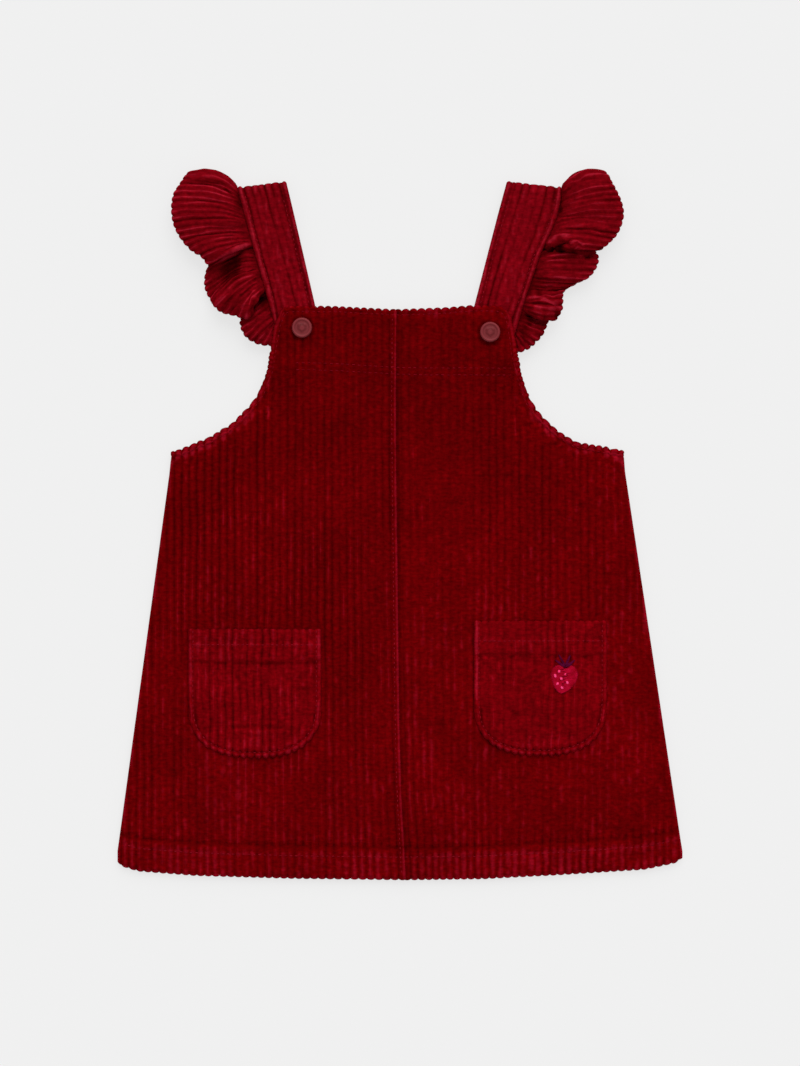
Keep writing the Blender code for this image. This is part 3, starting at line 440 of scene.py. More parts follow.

# What is laid over each form. Distances are millimetres; a tone is added to the pile's colour, for its
# wear and for painted highlight and shade.
NOISES = {  # strength, cell across, cell along, added to the piece's seed
    "front_drift": ((1.0, 16.0, 30.0, 0), (0.5, 6.0, 13.0, 1)),
    "front_crinkled_drift": ((0.9, 5.0, 5.5, 7),),
    "front_folds": ((0.3, 13.0, 22.0, 2),),
    "front_grooves": ((0.34, 34.0, 60.0, 8),),
    "front_beads": ((1.0, 1.0, 2.3, 14),),
    "front_long_beads": ((1.0, 1.0, 4.4, 18),),
    "front_pits": ((1.0, 3.4, 3.0, 17),),
    "front_uneven": ((0.14, 5.0, 9.0, 3), (0.2, 2.3, 2.6, 4)),
    "front_crinkle": ((0.20, 6.5, 2.7, 10), (0.26, 13.0, 5.0, 11)),
    "front_ripple": ((1.0, 9.0, 3.4, 5),),
    "front_tone": ((0.10, 7.0, 11.0, 6),),
    "front_nap": ((0.16, 1.5, 2.6, 12), (0.12, 1.3, 9.0, 13), (0.12, 28.0, 45.0, 15)),
    "front_crest": ((0.9, 9.0, 25.0, 16),),
    "front_tufts": ((1.0, 2.6, 2.6, 19),),
    "front_band": ((0.4, 3.0, 3.0, 20),),
    "front_neck": ((1.0, 2.4, 3.4, 21),),
    "back_uneven": ((0.2, 4.0, 6.0, 0),),
    "pocket_fold": ((0.7, 11.0, 5.0, 10),),
    "pocket_grooves": ((0.6, 16.0, 18.0, 9),),
    "pocket_beads": ((1.0, 1.0, 4.0, 16),),
    "pocket_uneven": ((0.14, 5.0, 9.0, 1), (0.16, 2.3, 2.6, 2)),
    "pocket_swell": ((0.30, 14.0, 9.0, 3),),
    "pocket_crinkle": ((0.22, 8.0, 2.8, 11), (0.16, 2.2, 2.3, 12)),
    "pocket_drift": ((0.5, 12.0, 20.0, 0), (0.5, 5.0, 6.0, 8)),
    "pocket_tone": ((0.10, 7.0, 11.0, 4),),
    "pocket_nap": ((0.20, 1.5, 2.6, 13), (0.16, 1.3, 11.0, 14)),
    "pocket_crest": ((1.0, 8.0, 16.0, 15),),
    "pocket_broken": ((0.34, 6.0, 5.0, 17),),
    "strap_wander": ((0.9, 9.0, 24.0, 0), (0.3, 5.0, 7.0, 4)),
    "strap_grooves": ((0.5, 6.0, 26.0, 3),),
    "strap_uneven": ((0.16, 5.0, 8.0, 1), (0.2, 2.3, 2.6, 2)),
    "strap_swell": ((0.22, 7.0, 3.2, 5),),
    "strap_nap": ((0.24, 1.4, 3.0, 6), (0.16, 1.1, 16.0, 7)),
    "frill_bend": ((0.9, 9.0, 11.0, 4), (0.4, 4.0, 5.0, 5)),
    "frill_grooves": ((0.7, 4.5, 11.0, 6),),
    "frill_uneven": ((0.18, 6.0, 7.0, 0), (0.22, 2.6, 2.4, 1)),
    "frill_gather": ((1.1, 3.1, 5.0 / 0.35, 2), (0.5, 1.6, 4.0, 7)),
    "frill_crumple": ((0.9, 7.0, 6.0, 8),),
    "frill_tone": ((0.12, 7.0, 9.0, 3),),
    "frill_nap": ((0.20, 1.3, 2.2, 9),),
    "frill_crest": ((0.9, 5.0, 9.0, 11),),
    "roll_level": ((0.3, 6.0, 6.0, 1),),
    "roll_steep": ((0.8, 5.0, 5.0, 2),),
    "roll_uneven": ((0.22, 4.0, 4.0, 0),),
}
LINES = {  # height or tone, where it is, half width: soft lines along an edge or round a point
    "hem": ((-0.55, HEM_CREASE_Y, 1.3), (-0.42, HEM_STITCH_Y, 0.9)),
    # lighter along the hem's stitches, and painted shade in the crease above the hem
    "hem_tone": ((0.30, HEM_STITCH_Y + 0.8, 0.7), (-0.55, HEM_CREASE_Y, 1.3)),
    "back_hem": ((0.35, HEM_STITCH_Y, 0.9),),
    "edge_roll": ((0.45, 1.7, 1.3),),
    "side_top": ((-0.35, 5.0, 1.2),),
    "rim_tone": ((0.45, 0.6, 0.9),),
    "neck_tone": ((0.62, 3.2, 3.2),),
    "waist_tone": ((-0.24, 276.0, 30.0),),
    "underarm": ((0.6, 0.0, 9.0),),
    "cap_shadow": ((-0.8, 6.9, 0.75),),
    "facing": ((-0.42, 0.0, 0.8),),
    "ring": ((-0.4, 2.4, 0.55),),
    "seam_ripple": ((0.32, 0.0, 6.5),),
    "seam_left": ((-0.6, SEAM_STITCH, 0.75),),
    # painted highlight on the left front's raised edge and shade beside its stitches; painted shadow
    # that the left front casts on the right
    "seam_left_tone": ((1.15, 0.7, 0.8), (-0.35, 2.6, 0.7)),
    "seam_right": ((-0.55, 1.5, 1.8),),
    "seam_right_tone": ((-0.9, 2.4, 1.1),),
    "pocket_shallow": ((-0.45, 3.0, 2.6),),
    "pocket_foot": ((0.5, 0.0, 9.0),),
    "pocket_band": ((-0.6, 0.6, 1.1),),
    "pocket_stitch": ((-0.3, -1.8, 0.8), (-0.3, 1.8, 0.8)),
    "pocket_rim": ((0.4, 1.3, 1.1),),
    "pocket_groove": ((-0.75, 3.1, 0.7),),
    "pocket_rim_tone": ((0.5, 1.2, 0.9), (-0.25, 3.2, 0.6)),
    "pocket_foot_seam": ((-0.5, 3.1, 0.5),),
    "pocket_foot_pits": ((-0.4, 1.6, 1.6),),
    "pocket_foot_tone": ((0.30, 6.0, 5.0),),
    "pocket_stitch_tone": ((0.28, 0.0, 0.8),),
    "pocket_fold_tone": ((-1.0, 0.8, 1.0),),
    "pocket_side_tone": ((0.6, 1.8, 0.9),),
    "strap_fold": ((0.5, 1.0, 5.0),),
    "strap_arm": ((0.45, 1.7, 1.5), (-1.1, 3.6, 0.7)),
    "strap_neck": ((0.30, 1.4, 1.3), (-0.9, 2.9, 0.7)),
    "strap_arm_tone": ((0.35, 2.4, 0.8), (-0.6, 3.7, 0.6)),
    "strap_neck_tone": ((0.25, 1.2, 1.1), (-0.7, 2.9, 0.6)),
    "strap_fold_tone": ((0.2, 2.0, 5.0),),
    "frill_edge_tone": ((0.35, 0.4, 1.2),),
    "frill_seam_tone": ((-0.35, 0.0, 3.0),),
    "cap_rim_tone": ((0.65, 5.2, 0.8),),
    "cap_step_tone": ((-0.15, 4.2, 0.25),),
}


# Numbers

def ease(low, high, value):
    """0 below low, 1 above high, smooth between."""
    t = np.clip((np.asarray(value, float) - low) / (high - low), 0.0, 1.0)
    return t * t * (3.0 - 2.0 * t)


def bell(distance, half_width):
    return np.exp(-(np.asarray(distance) / half_width) ** 2)


def window(stops, value):
    """1 inside a span, 0 outside it: its four stops are where it rises and where it falls."""
    return ease(*stops[:2], value) * (1.0 - ease(*stops[2:], value))


def lines(kind, distance):
    """The soft lines of a kind, added up."""
    return sum(height * bell(distance - at, half_width) for height, at, half_width in LINES[kind])


def read(table, value, column=1):
    """A table's column at a value of its first column, straight between the rows."""
    rows = np.array(table)
    return np.interp(value, rows[:, 0], rows[:, column])


def through(rows, places):
    """Points on the smooth curve through a table's rows, at fractional row numbers."""
    rows = np.asarray(rows, float)
    last = len(rows) - 1
    start = np.clip(np.floor(places).astype(int), 0, last - 1)
    t = (np.asarray(places) - start)[:, None]
    before = rows[np.maximum(start - 1, 0)]
    here = rows[start]
    there = rows[start + 1]
    after = rows[np.minimum(start + 2, last)]
    bend = 2.0 * before - 5.0 * here + 4.0 * there - after
    twist = 3.0 * here - before - 3.0 * there + after
    return here + 0.5 * t * (there - before + t * (bend + t * twist))


def distance_to(line, x, y):
    """Distance from each point to a broken line."""
    points = np.stack([x, y], axis=-1)
    nearest = np.full(np.shape(x), np.inf)
    for start, end in zip(np.array(line[:-1]), np.array(line[1:])):
        run = end - start
        along = np.clip((points - start) @ run / max(run @ run, 1e-9), 0.0, 1.0)
        away = points - (start + along[..., None] * run)
        nearest = np.minimum(nearest, np.linalg.norm(away, axis=-1))
    return nearest


def noise(x, y, cell_x, cell_y, seed):
    """Smooth noise from -1 to 1, in cells of the given size."""
    grid = np.random.default_rng(seed).uniform(-1.0, 1.0, (NOISE_CELLS, NOISE_CELLS))
    u, v = np.broadcast_arrays(np.asarray(x) / cell_x, np.asarray(y) / cell_y)
    i, j = np.floor(u).astype(int), np.floor(v).astype(int)
    s, t = u - i, v - j
    s, t = s * s * (3.0 - 2.0 * s), t * t * (3.0 - 2.0 * t)
    i, j, i_next, j_next = (k % NOISE_CELLS for k in (i, j, i + 1, j + 1))
    low = grid[i, j] * (1.0 - s) + grid[i_next, j] * s
    high = grid[i, j_next] * (1.0 - s) + grid[i_next, j_next] * s
    return low * (1.0 - t) + high * t


def grain(kind, x, y, seed):
    """The noises of a kind, added up."""
    return sum(strength * noise(x, y, cell_x, cell_y, seed + more)
               for strength, cell_x, cell_y, more in NOISES[kind])


def one_per_wale(numbers, low, high, seed):
    """A random factor for each wale, read at fractional wale numbers."""
    numbers = np.maximum(np.round(numbers).astype(int), 0)
    return np.random.default_rng(seed).uniform(low, high, numbers.max() + 1)[numbers]


def evenly(points, step):
    """Points along a broken line at even steps."""
    points = np.asarray(points, float)
    length = np.concatenate([[0.0], np.cumsum(np.linalg.norm(np.diff(points, axis=0), axis=1))])
    at = np.linspace(0.0, length[-1], max(int(length[-1] / step), 1) + 1)
    return np.stack([np.interp(at, length, points[:, k]) for k in range(points.shape[1])], axis=1)


def rounded(points, reach, step=0.5):
    """A broken line with its corners rounded off over the reach given."""
    fine = evenly(points, step)
    count = max(int(reach / step), 1)
    weights = np.bartlett(2 * count + 3)[1:-1]
    weights /= weights.sum()
    before = 2.0 * fine[0] - fine[1:count + 1][::-1]
    after = 2.0 * fine[-1] - fine[-count - 1:-1][::-1]
    long = np.concatenate([before, fine, after])
    return np.stack([np.convolve(long[:, k], weights, "valid") for k in range(2)], axis=1)


def to_right(line):
    """Unit vectors square to a line of points, on the right of its run."""
    ahead = np.gradient(line, axis=0)
    ahead /= np.linalg.norm(ahead, axis=1)[:, None]
    return np.stack([ahead[:, 1], -ahead[:, 0]], axis=1)


def height_at(points, x):
    """Height of an edge with rounded corners."""
    edge = rounded(points, CORNER_REACH)
    return np.interp(x, edge[:, 0], edge[:, 1])


# Form of the front, which the pockets and snaps follow

def puff(x, y):
    outline = LEFT_UPPER_EDGE + RIGHT_UPPER_EDGE[1:] + HEM[::-1] + LEFT_UPPER_EDGE[:1]
    return PUFF_HEIGHT * ease(0.0, PUFF_REACH, distance_to(outline, x, y))


def folds(x, y):
    """Long soft ridges and troughs down the front."""
    total = np.zeros(np.shape(x))
    for x_top, x_foot, y_top, y_foot, half_width, height in FOLDS:
        reach = (y_top - y_foot) / 3.0
        line = x_foot + (x_top - x_foot) * (y - y_foot) / (y_top - y_foot)
        shown = window((y_foot, y_foot + reach, y_top - reach, y_top), y)
        total = total + height * shown * bell(x - line, half_width)
    return total


def creases(table, x, y):
    """Short ones, deepest in the middle of their length."""
    total = np.zeros(np.shape(x))
    for x_a, y_a, x_b, y_b, half_width, height in table:
        run = np.array((x_b - x_a, y_b - y_a))
        share = ((x - x_a) * run[0] + (y - y_a) * run[1]) / (run @ run)
        away = ((x - x_a) * run[1] - (y - y_a) * run[0]) / np.linalg.norm(run)
        total = total + height * window(CREASE_SPAN, share) * bell(away, half_width)
    return total


def over_strap(x, y):
    """1 where the bib lies on a strap's end, less between the straps."""
    left_inside = x - read(LEFT_STRAP, y, 2)
    right_inside = read(RIGHT_STRAP, y, 2) - x
    inside = np.minimum(left_inside, right_inside)
    return ease(*BIB_RISE, y) * (1.0 - BIB_SAG * ease(*BIB_SAG_REACH, inside))


def front_inside(x, y, fine=0.0):
    """Height of the front's inner face, with fine short creases if given."""
    low = BACK_CLOTH + SEAM_GAP
    base = low + np.maximum(puff(x, y) + folds(x, y) + fine, 0.0)
    share = over_strap(x, y)
    return base * (1.0 - share) + UNDER_BIB_Z * share


def front_face(x, y):
    """Height of the front's ridges, away from its edges."""
    return front_inside(x, y) + FRONT_CLOTH + WALE_HEIGHT


def facing_line(row_y, x):
    """Height of a row of the facing's stitches."""
    return row_y + FACING_LIFT * ease(20.0, -60.0, x)


def pocket_foot(share):
    """How far a pocket's foot curves up, at shares from -1 to 1 of its half width."""
    return POCKET_ROUND * (1.0 - (1.0 - np.abs(share) ** POCKET_POWER) ** (1.0 / POCKET_POWER))


# Meshes

def place(points):
    """Millimetres on the laid garment to metres in the frame."""
    points = np.array(points, float)
    points[..., 1] -= ORIGIN_Y
    return points * MM


def add_piece(name, points, faces, material, pile=None):
    """A smooth-shaded piece that rides on the garment's body, with its faces turned outward."""
    mesh = bpy.data.meshes.new(name)
    mesh.from_pydata(place(points).tolist(), [], faces)
    if pile is not None:
        # the pile attribute holds the cloth's tone: wales and wear, and painted highlight and shade
        mesh.attributes.new("pile", "FLOAT", "POINT").data.foreach_set("value", pile)
    bm = bmesh.new()
    bm.from_mesh(mesh)
    bmesh.ops.recalc_face_normals(bm, faces=bm.faces)
    bm.to_mesh(mesh)
    bm.free()
    mesh.shade_smooth()
    mesh.materials.append(material)
    piece = bpy.data.objects.new(name, mesh)
    bpy.context.scene.collection.objects.link(piece)
    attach(piece, "root")
    return piece


def join_rows(near, far, near_at, far_at):
    """Triangles between two rows of vertices that run side by side, at the places given."""
    faces = []
    i = 0
    j = 0
    while i < len(near) - 1 or j < len(far) - 1:
        far_done = j == len(far) - 1
        if i < len(near) - 1 and (far_done or near_at[i + 1] <= far_at[j + 1]):
            faces.append((near[i], near[i + 1], far[j]))
            i += 1
        else:
            faces.append((near[i], far[j + 1], far[j]))
            j += 1
    return faces


def grid_faces(ids):
    quads = np.stack([ids[:-1, :-1], ids[1:, :-1], ids[1:, 1:], ids[:-1, 1:]], axis=-1)
    return quads.reshape(-1, 4).tolist()


def ring_faces(ids):
    """Faces between closed rings; the last axis of the ids runs round a ring."""
    ahead = np.roll(ids, -1, axis=-1)
    quads = np.stack([ids[..., :-1, :], ids[..., 1:, :], ahead[..., 1:, :], ahead[..., :-1, :]],
                     axis=-1)
    return quads.reshape(-1, 4).tolist()


def shell(name, outer, inner, steps, pile, material):
    """A closed wall of cloth: a fine outer grid and an inner one that keeps every so many of its
    columns and rows, joined round the rim."""
    columns, rows = outer.shape[:2]
    kept = (every(steps[0], columns), every(steps[1], rows))
    outside = np.arange(columns * rows).reshape(columns, rows)
    inner = inner[np.ix_(*kept)]
    inside = columns * rows + np.arange(inner[..., 0].size).reshape(inner.shape[:2])
    faces = grid_faces(outside) + grid_faces(inside[::-1])
    at = (range(columns), range(rows))
    for end in (0, -1):
        faces += join_rows(outside[:, end].tolist(), inside[:, end].tolist(), at[0], kept[0])
        faces += join_rows(outside[end].tolist(), inside[end].tolist(), at[1], kept[1])
    points = np.concatenate([outer.reshape(-1, 3), inner.reshape(-1, 3)])
    pile = np.broadcast_to(np.clip(pile, *TONES), (columns, rows)).ravel()
    pile = np.concatenate([pile, np.zeros(inner[..., 0].size)])
    return add_piece(name, points, faces, material, pile)


def cloth_walls(outer_x, x, y, inside_z, face, from_edge, reach=EDGE_ROUND):
    """Outer and inner points of a cloth, which thins and rounds off at its edges."""
    face = EDGE_CLOTH + (face - EDGE_CLOTH) * edge_shape(from_edge, reach)
    return np.stack([outer_x, y, inside_z + face], axis=-1), np.stack([x, y, inside_z], axis=-1)


def every(step, count):
    """Every so many places up to count, with the last one too."""
    return sorted(set(range(0, count, step)) | {count - 1})


def wale_places(half_wales):
    """Columns for a number of half wales, closest together at the grooves."""
    places = [k + share for k in range(half_wales) for share in (RISING, FALLING)[k % 2]]
    return np.array(places + [half_wales], float)


def ridge(places):
    """0 in a groove, 1 on a ridge; the ridges are at odd places."""
    return 1.0 - np.abs(np.mod(places, 2.0) - 1.0) ** WALE_POWER


def on_ridge(places):
    return (np.mod(places, 2.0) == 1.0)[:, None]


def edge_shape(distance, reach=EDGE_ROUND):
    """0 at an edge, 1 further in, like the shoulder of a fold."""
    t = 1.0 - np.clip(distance / reach, 0.0, 1.0)
    return np.sqrt(1.0 - t * t)


def rows_between(foot, top, count):
    """Heights of a column's rows: close together at both ends, even between."""
    even = np.linspace(0.0, top - foot, count)
    near = len(NEAR_EDGE)
    low = np.minimum(NEAR_EDGE, even[:near])
    high = (top - foot) - low[::-1]
    middle = np.linspace(low[-1], high[0], count - 2 * near + 2)[1:-1]
    return foot + np.concatenate([low, middle, high])


def row_heights(foot, top, count):
    """Heights of the rows in every column."""
    return np.array([rows_between(low, high, count) for low, high in zip(foot, top)])


def surface_under(*pieces):
    """A function that gives the height of the pieces' upper side at points on the garment."""
    depsgraph = bpy.context.evaluated_depsgraph_get()
    trees = [BVHTree.FromObject(piece, depsgraph) for piece in pieces]

    def height(points):
        found = []
        for x, y, _ in place(np.insert(points, 2, 0.0, axis=1)):
            start = Vector((x, y, 0.1))
            hits = [tree.ray_cast(start, Vector((0.0, 0.0, -1.0)))[0] for tree in trees]
            found.append(max((hit.z / MM for hit in hits if hit is not None), default=0.0))
        return np.array(found)
    return height


def threads(name, paths, half_width, material):
    """Many short lengths of thread as one mesh; each path is a row of points."""
    paths = np.asarray(paths, float)
    count, steps = paths.shape[:2]
    along = np.gradient(paths, axis=1)
    along /= np.linalg.norm(along, axis=-1, keepdims=True)
    beside = np.cross(along, (0.0, 0.0, 1.0))
    beside /= np.linalg.norm(beside, axis=-1, keepdims=True)
    above = np.cross(beside, along)
    taper = np.sqrt(1.0 - np.abs(np.linspace(-0.93, 0.93, steps)) ** 3)[None, :, None, None]
    turn = np.arange(THREAD_SIDES) * 2.0 * math.pi / THREAD_SIDES
    wide = half_width * taper * np.cos(turn)[None, None, :, None]
    high = half_width * THREAD_FLATNESS * taper * np.sin(turn)[None, None, :, None]
    points = paths[:, :, None] + wide * beside[:, :, None] + high * above[:, :, None]
    ids = np.arange(count * steps * THREAD_SIDES).reshape(count, steps, THREAD_SIDES)
    faces = ring_faces(ids) + ids[:, 0, ::-1].tolist() + ids[:, -1].tolist()
    return add_piece(name, points.reshape(-1, 3), faces, material)


def stitches(line, height, length=STITCH, gap=STITCH_GAP, lift=0.12, seed=1):
    """Paths of running stitches along a line on a surface."""
    line = evenly(line, 0.25)
    run = np.concatenate([[0.0], np.cumsum(np.linalg.norm(np.diff(line, axis=0), axis=1))])
    starts = np.arange(gap / 2.0, run[-1] - length, length + gap)
    rng = np.random.default_rng(seed)
    share = np.linspace(0.0, 1.0, 5)
    stops = starts[:, None] + length * share + rng.uniform(-STITCH_SWAY, STITCH_SWAY, (len(starts), 1))
    flat = np.stack([np.interp(stops, run, line[:, k]) for k in range(2)], axis=-1)
    flat += rng.uniform(-STITCH_SWAY, STITCH_SWAY, (len(starts), 1, 2))
    z = height(flat.reshape(-1, 2)).reshape(stops.shape)
    arch = np.array((-STITCH_SINK, 0.0, lift, 0.0, -STITCH_SINK))
    level = 0.5 * z.mean(axis=1, keepdims=True) + 0.5 * z
    return np.concatenate([flat, (level + arch)[..., None]], axis=-1)


# Materials

def node(tree, kind, inputs=(), **settings):
    made = tree.nodes.new(kind)
    for key, value in settings.items():
        setattr(made, key, value)
    for key, value in dict(inputs).items():
        if isinstance(value, bpy.types.NodeSocket):
            tree.links.new(value, made.inputs[key])
        else:
            made.inputs[key].default_value = value
    return made


def new_material(name, roughness, specular=0.0, sheen=0.0, sheen_color=(1, 1, 1)):
    material = bpy.data.materials.new(name)
    material.use_nodes = True
    shader = material.node_tree.nodes["Principled BSDF"]
    shader.inputs["Roughness"].default_value = roughness
    shader.inputs["Specular IOR Level"].default_value = specular
    shader.inputs["Sheen Weight"].default_value = sheen
    shader.inputs["Sheen Roughness"].default_value = 0.45
    shader.inputs["Sheen Tint"].default_value = (*sheen_color, 1.0)
    return material, material.node_tree, shader


def mix_color(tree, share, low, high, blend="MIX"):
    mix = node(tree, "ShaderNodeMix", data_type="RGBA", blend_type=blend)
    for key, value in ((0, share), (6, low), (7, high)):
        if isinstance(value, bpy.types.NodeSocket):
            tree.links.new(value, mix.inputs[key])
        else:
            mix.inputs[key].default_value = value if key == 0 else (*value, 1.0)
    return mix.outputs[2]


def span(tree, value, low, high, to_low, to_high):
    return node(tree, "ShaderNodeMapRange", {0: value, 1: low, 2: high, 3: to_low, 4: to_high}
                ).outputs[0]


def corduroy(name, groove, crown, wear_and_painted_light, depth=0.35):
    """Ribbed pile: dark between the wales, partly its own colour and partly painted shade, worn lighter
    on them, in short soft tufts.
    """
    material, tree, shader = new_material(
        name, 0.95, sheen=0.03, sheen_color=(1.0, 0.05, 0.08))
    at = node(tree, "ShaderNodeTexCoord").outputs["Object"]
    pile = node(tree, "ShaderNodeAttribute", attribute_name="pile").outputs["Fac"]
    tufts = node(tree, "ShaderNodeTexNoise", {"Vector": at, "Scale": 420.0, "Detail": 3.0,
                                              "Roughness": 0.6}).outputs["Fac"]
    stretched = node(tree, "ShaderNodeMapping", {"Vector": at, "Scale": (260.0, 620.0, 400.0)})
    breaks = node(tree, "ShaderNodeTexNoise", {"Vector": stretched.outputs[0], "Scale": 1.0,
                                               "Detail": 1.0}).outputs["Fac"]
    patches = node(tree, "ShaderNodeTexNoise", {"Vector": at, "Scale": 26.0, "Detail": 3.0}
                   ).outputs["Fac"]
    # pile below 0 is painted shade in hollows, darkening to this colour; above 1 it is worn pile and
    # painted highlight
    painted_shade_color = tuple(depth * value for value in groove)
    tone = mix_color(tree, span(tree, pile, -1.0, 0.0, 0.0, 1.0), painted_shade_color, groove)
    tone = mix_color(tree, span(tree, pile, 0.0, 1.0, 0.0, 1.0), tone, crown)
    tone = mix_color(tree, span(tree, pile, 1.0, 1.6, 0.0, 1.0), tone, wear_and_painted_light)
    for value, low, high in ((patches, 0.88, 1.12), (tufts, 0.78, 1.22), (breaks, 0.84, 1.16)):
        grey = span(tree, value, 0.3, 0.7, low, high)
        tint = node(tree, "ShaderNodeCombineColor", {0: grey, 1: grey, 2: grey}).outputs[0]
        tone = mix_color(tree, 1.0, tone, tint, "MULTIPLY")
    tree.links.new(tone, shader.inputs["Base Color"])
    relief = node(tree, "ShaderNodeMath", {0: tufts, 1: breaks}, operation="ADD").outputs[0]
    bump = node(tree, "ShaderNodeBump", {"Height": relief, "Strength": 0.55,
                                         "Distance": 0.0006})
    tree.links.new(bump.outputs[0], shader.inputs["Normal"])
    return material


def thread_material(name, color, light):
    """Twisted thread: fine slanting strands and a slight gloss."""
    material, tree, shader = new_material(name, 0.8, specular=0.02, sheen=0.03,
                                          sheen_color=(1.0, 0.12, 0.16))
    at = node(tree, "ShaderNodeTexCoord").outputs["Object"]
    turned = node(tree, "ShaderNodeMapping", {"Vector": at, "Rotation": (0.0, 0.0, 0.7)})
    strands = node(tree, "ShaderNodeTexWave", {"Vector": turned.outputs[0], "Scale": 900.0,
                                               "Distortion": 1.5}).outputs["Fac"]
    patches = node(tree, "ShaderNodeTexNoise", {"Vector": at, "Scale": 300.0}).outputs["Fac"]
    tone = mix_color(tree, span(tree, patches, 0.3, 0.7, 0.0, 1.0), color, light)
    tree.links.new(tone, shader.inputs["Base Color"])
    bump = node(tree, "ShaderNodeBump", {"Height": strands, "Strength": 0.4,
                                         "Distance": 0.00015})
    tree.links.new(bump.outputs[0], shader.inputs["Normal"])
    return material


def resin_material(name, color, light):
    """Matt moulded resin."""
    material, tree, shader = new_material(name, 0.55, specular=0.14)
    at = node(tree, "ShaderNodeTexCoord").outputs["Object"]
    specks = node(tree, "ShaderNodeTexNoise", {"Vector": at, "Scale": 900.0, "Detail": 2.0}
                 ).outputs["Fac"]
    patches = node(tree, "ShaderNodeTexNoise", {"Vector": at, "Scale": 160.0}).outputs["Fac"]
    # the pile attribute carries the cap's painted highlight and shade
    height = node(tree, "ShaderNodeAttribute", attribute_name="pile").outputs["Fac"]
    wear_and_painted_light = node(tree, "ShaderNodeMath", {0: height, 1: span(tree, patches, 0.3, 0.7, -0.1, 0.1)},
                operation="ADD").outputs[0]
    tone = mix_color(tree, wear_and_painted_light, color, light)
    tree.links.new(tone, shader.inputs["Base Color"])
    tree.links.new(span(tree, specks, 0.2, 0.8, 0.42, 0.6), shader.inputs["Roughness"])
    bump = node(tree, "ShaderNodeBump", {"Height": specks, "Strength": 0.15, "Distance": 0.0001})
    tree.links.new(bump.outputs[0], shader.inputs["Normal"])
    return material


body_cloth = corduroy("body_corduroy", (0.080, 0.0002, 0.0006), (0.142, 0.0003, 0.0012),
                      (0.240, 0.0030, 0.0100))
pocket_cloth = corduroy("pocket_corduroy", (0.090, 0.0003, 0.0012), (0.190, 0.0006, 0.0030),
                        (0.290, 0.0050, 0.0150))
strap_cloth = corduroy("strap_corduroy", (0.085, 0.0004, 0.0016), (0.188, 0.0013, 0.0050),
                       (0.290, 0.0080, 0.0190))
frill_cloth = corduroy("ruffle_corduroy", (0.070, 0.0003, 0.0012), (0.186, 0.0014, 0.0050),
                       (0.315, 0.0090, 0.0220), 0.12)
seam_thread = thread_material("thread", (0.170, 0.0020, 0.0070), (0.300, 0.0080, 0.0180))
edge_thread = thread_material("edge_thread", (0.155, 0.0012, 0.0050), (0.245, 0.0040, 0.0120))
berry_thread = thread_material("berry_thread", (0.310, 0.0005, 0.0095), (0.500, 0.0028, 0.0320))
seed_thread = thread_material("seed_thread", (1.000, 0.040, 0.190), (1.000, 0.090, 0.280))
leaf_thread = thread_material("leaf_thread", (0.060, 0.0008, 0.0170), (0.110, 0.0024, 0.0330))
snap_resin = resin_material("snap_resin", (0.110, 0.009, 0.011), (0.215, 0.025, 0.030))


# Pieces

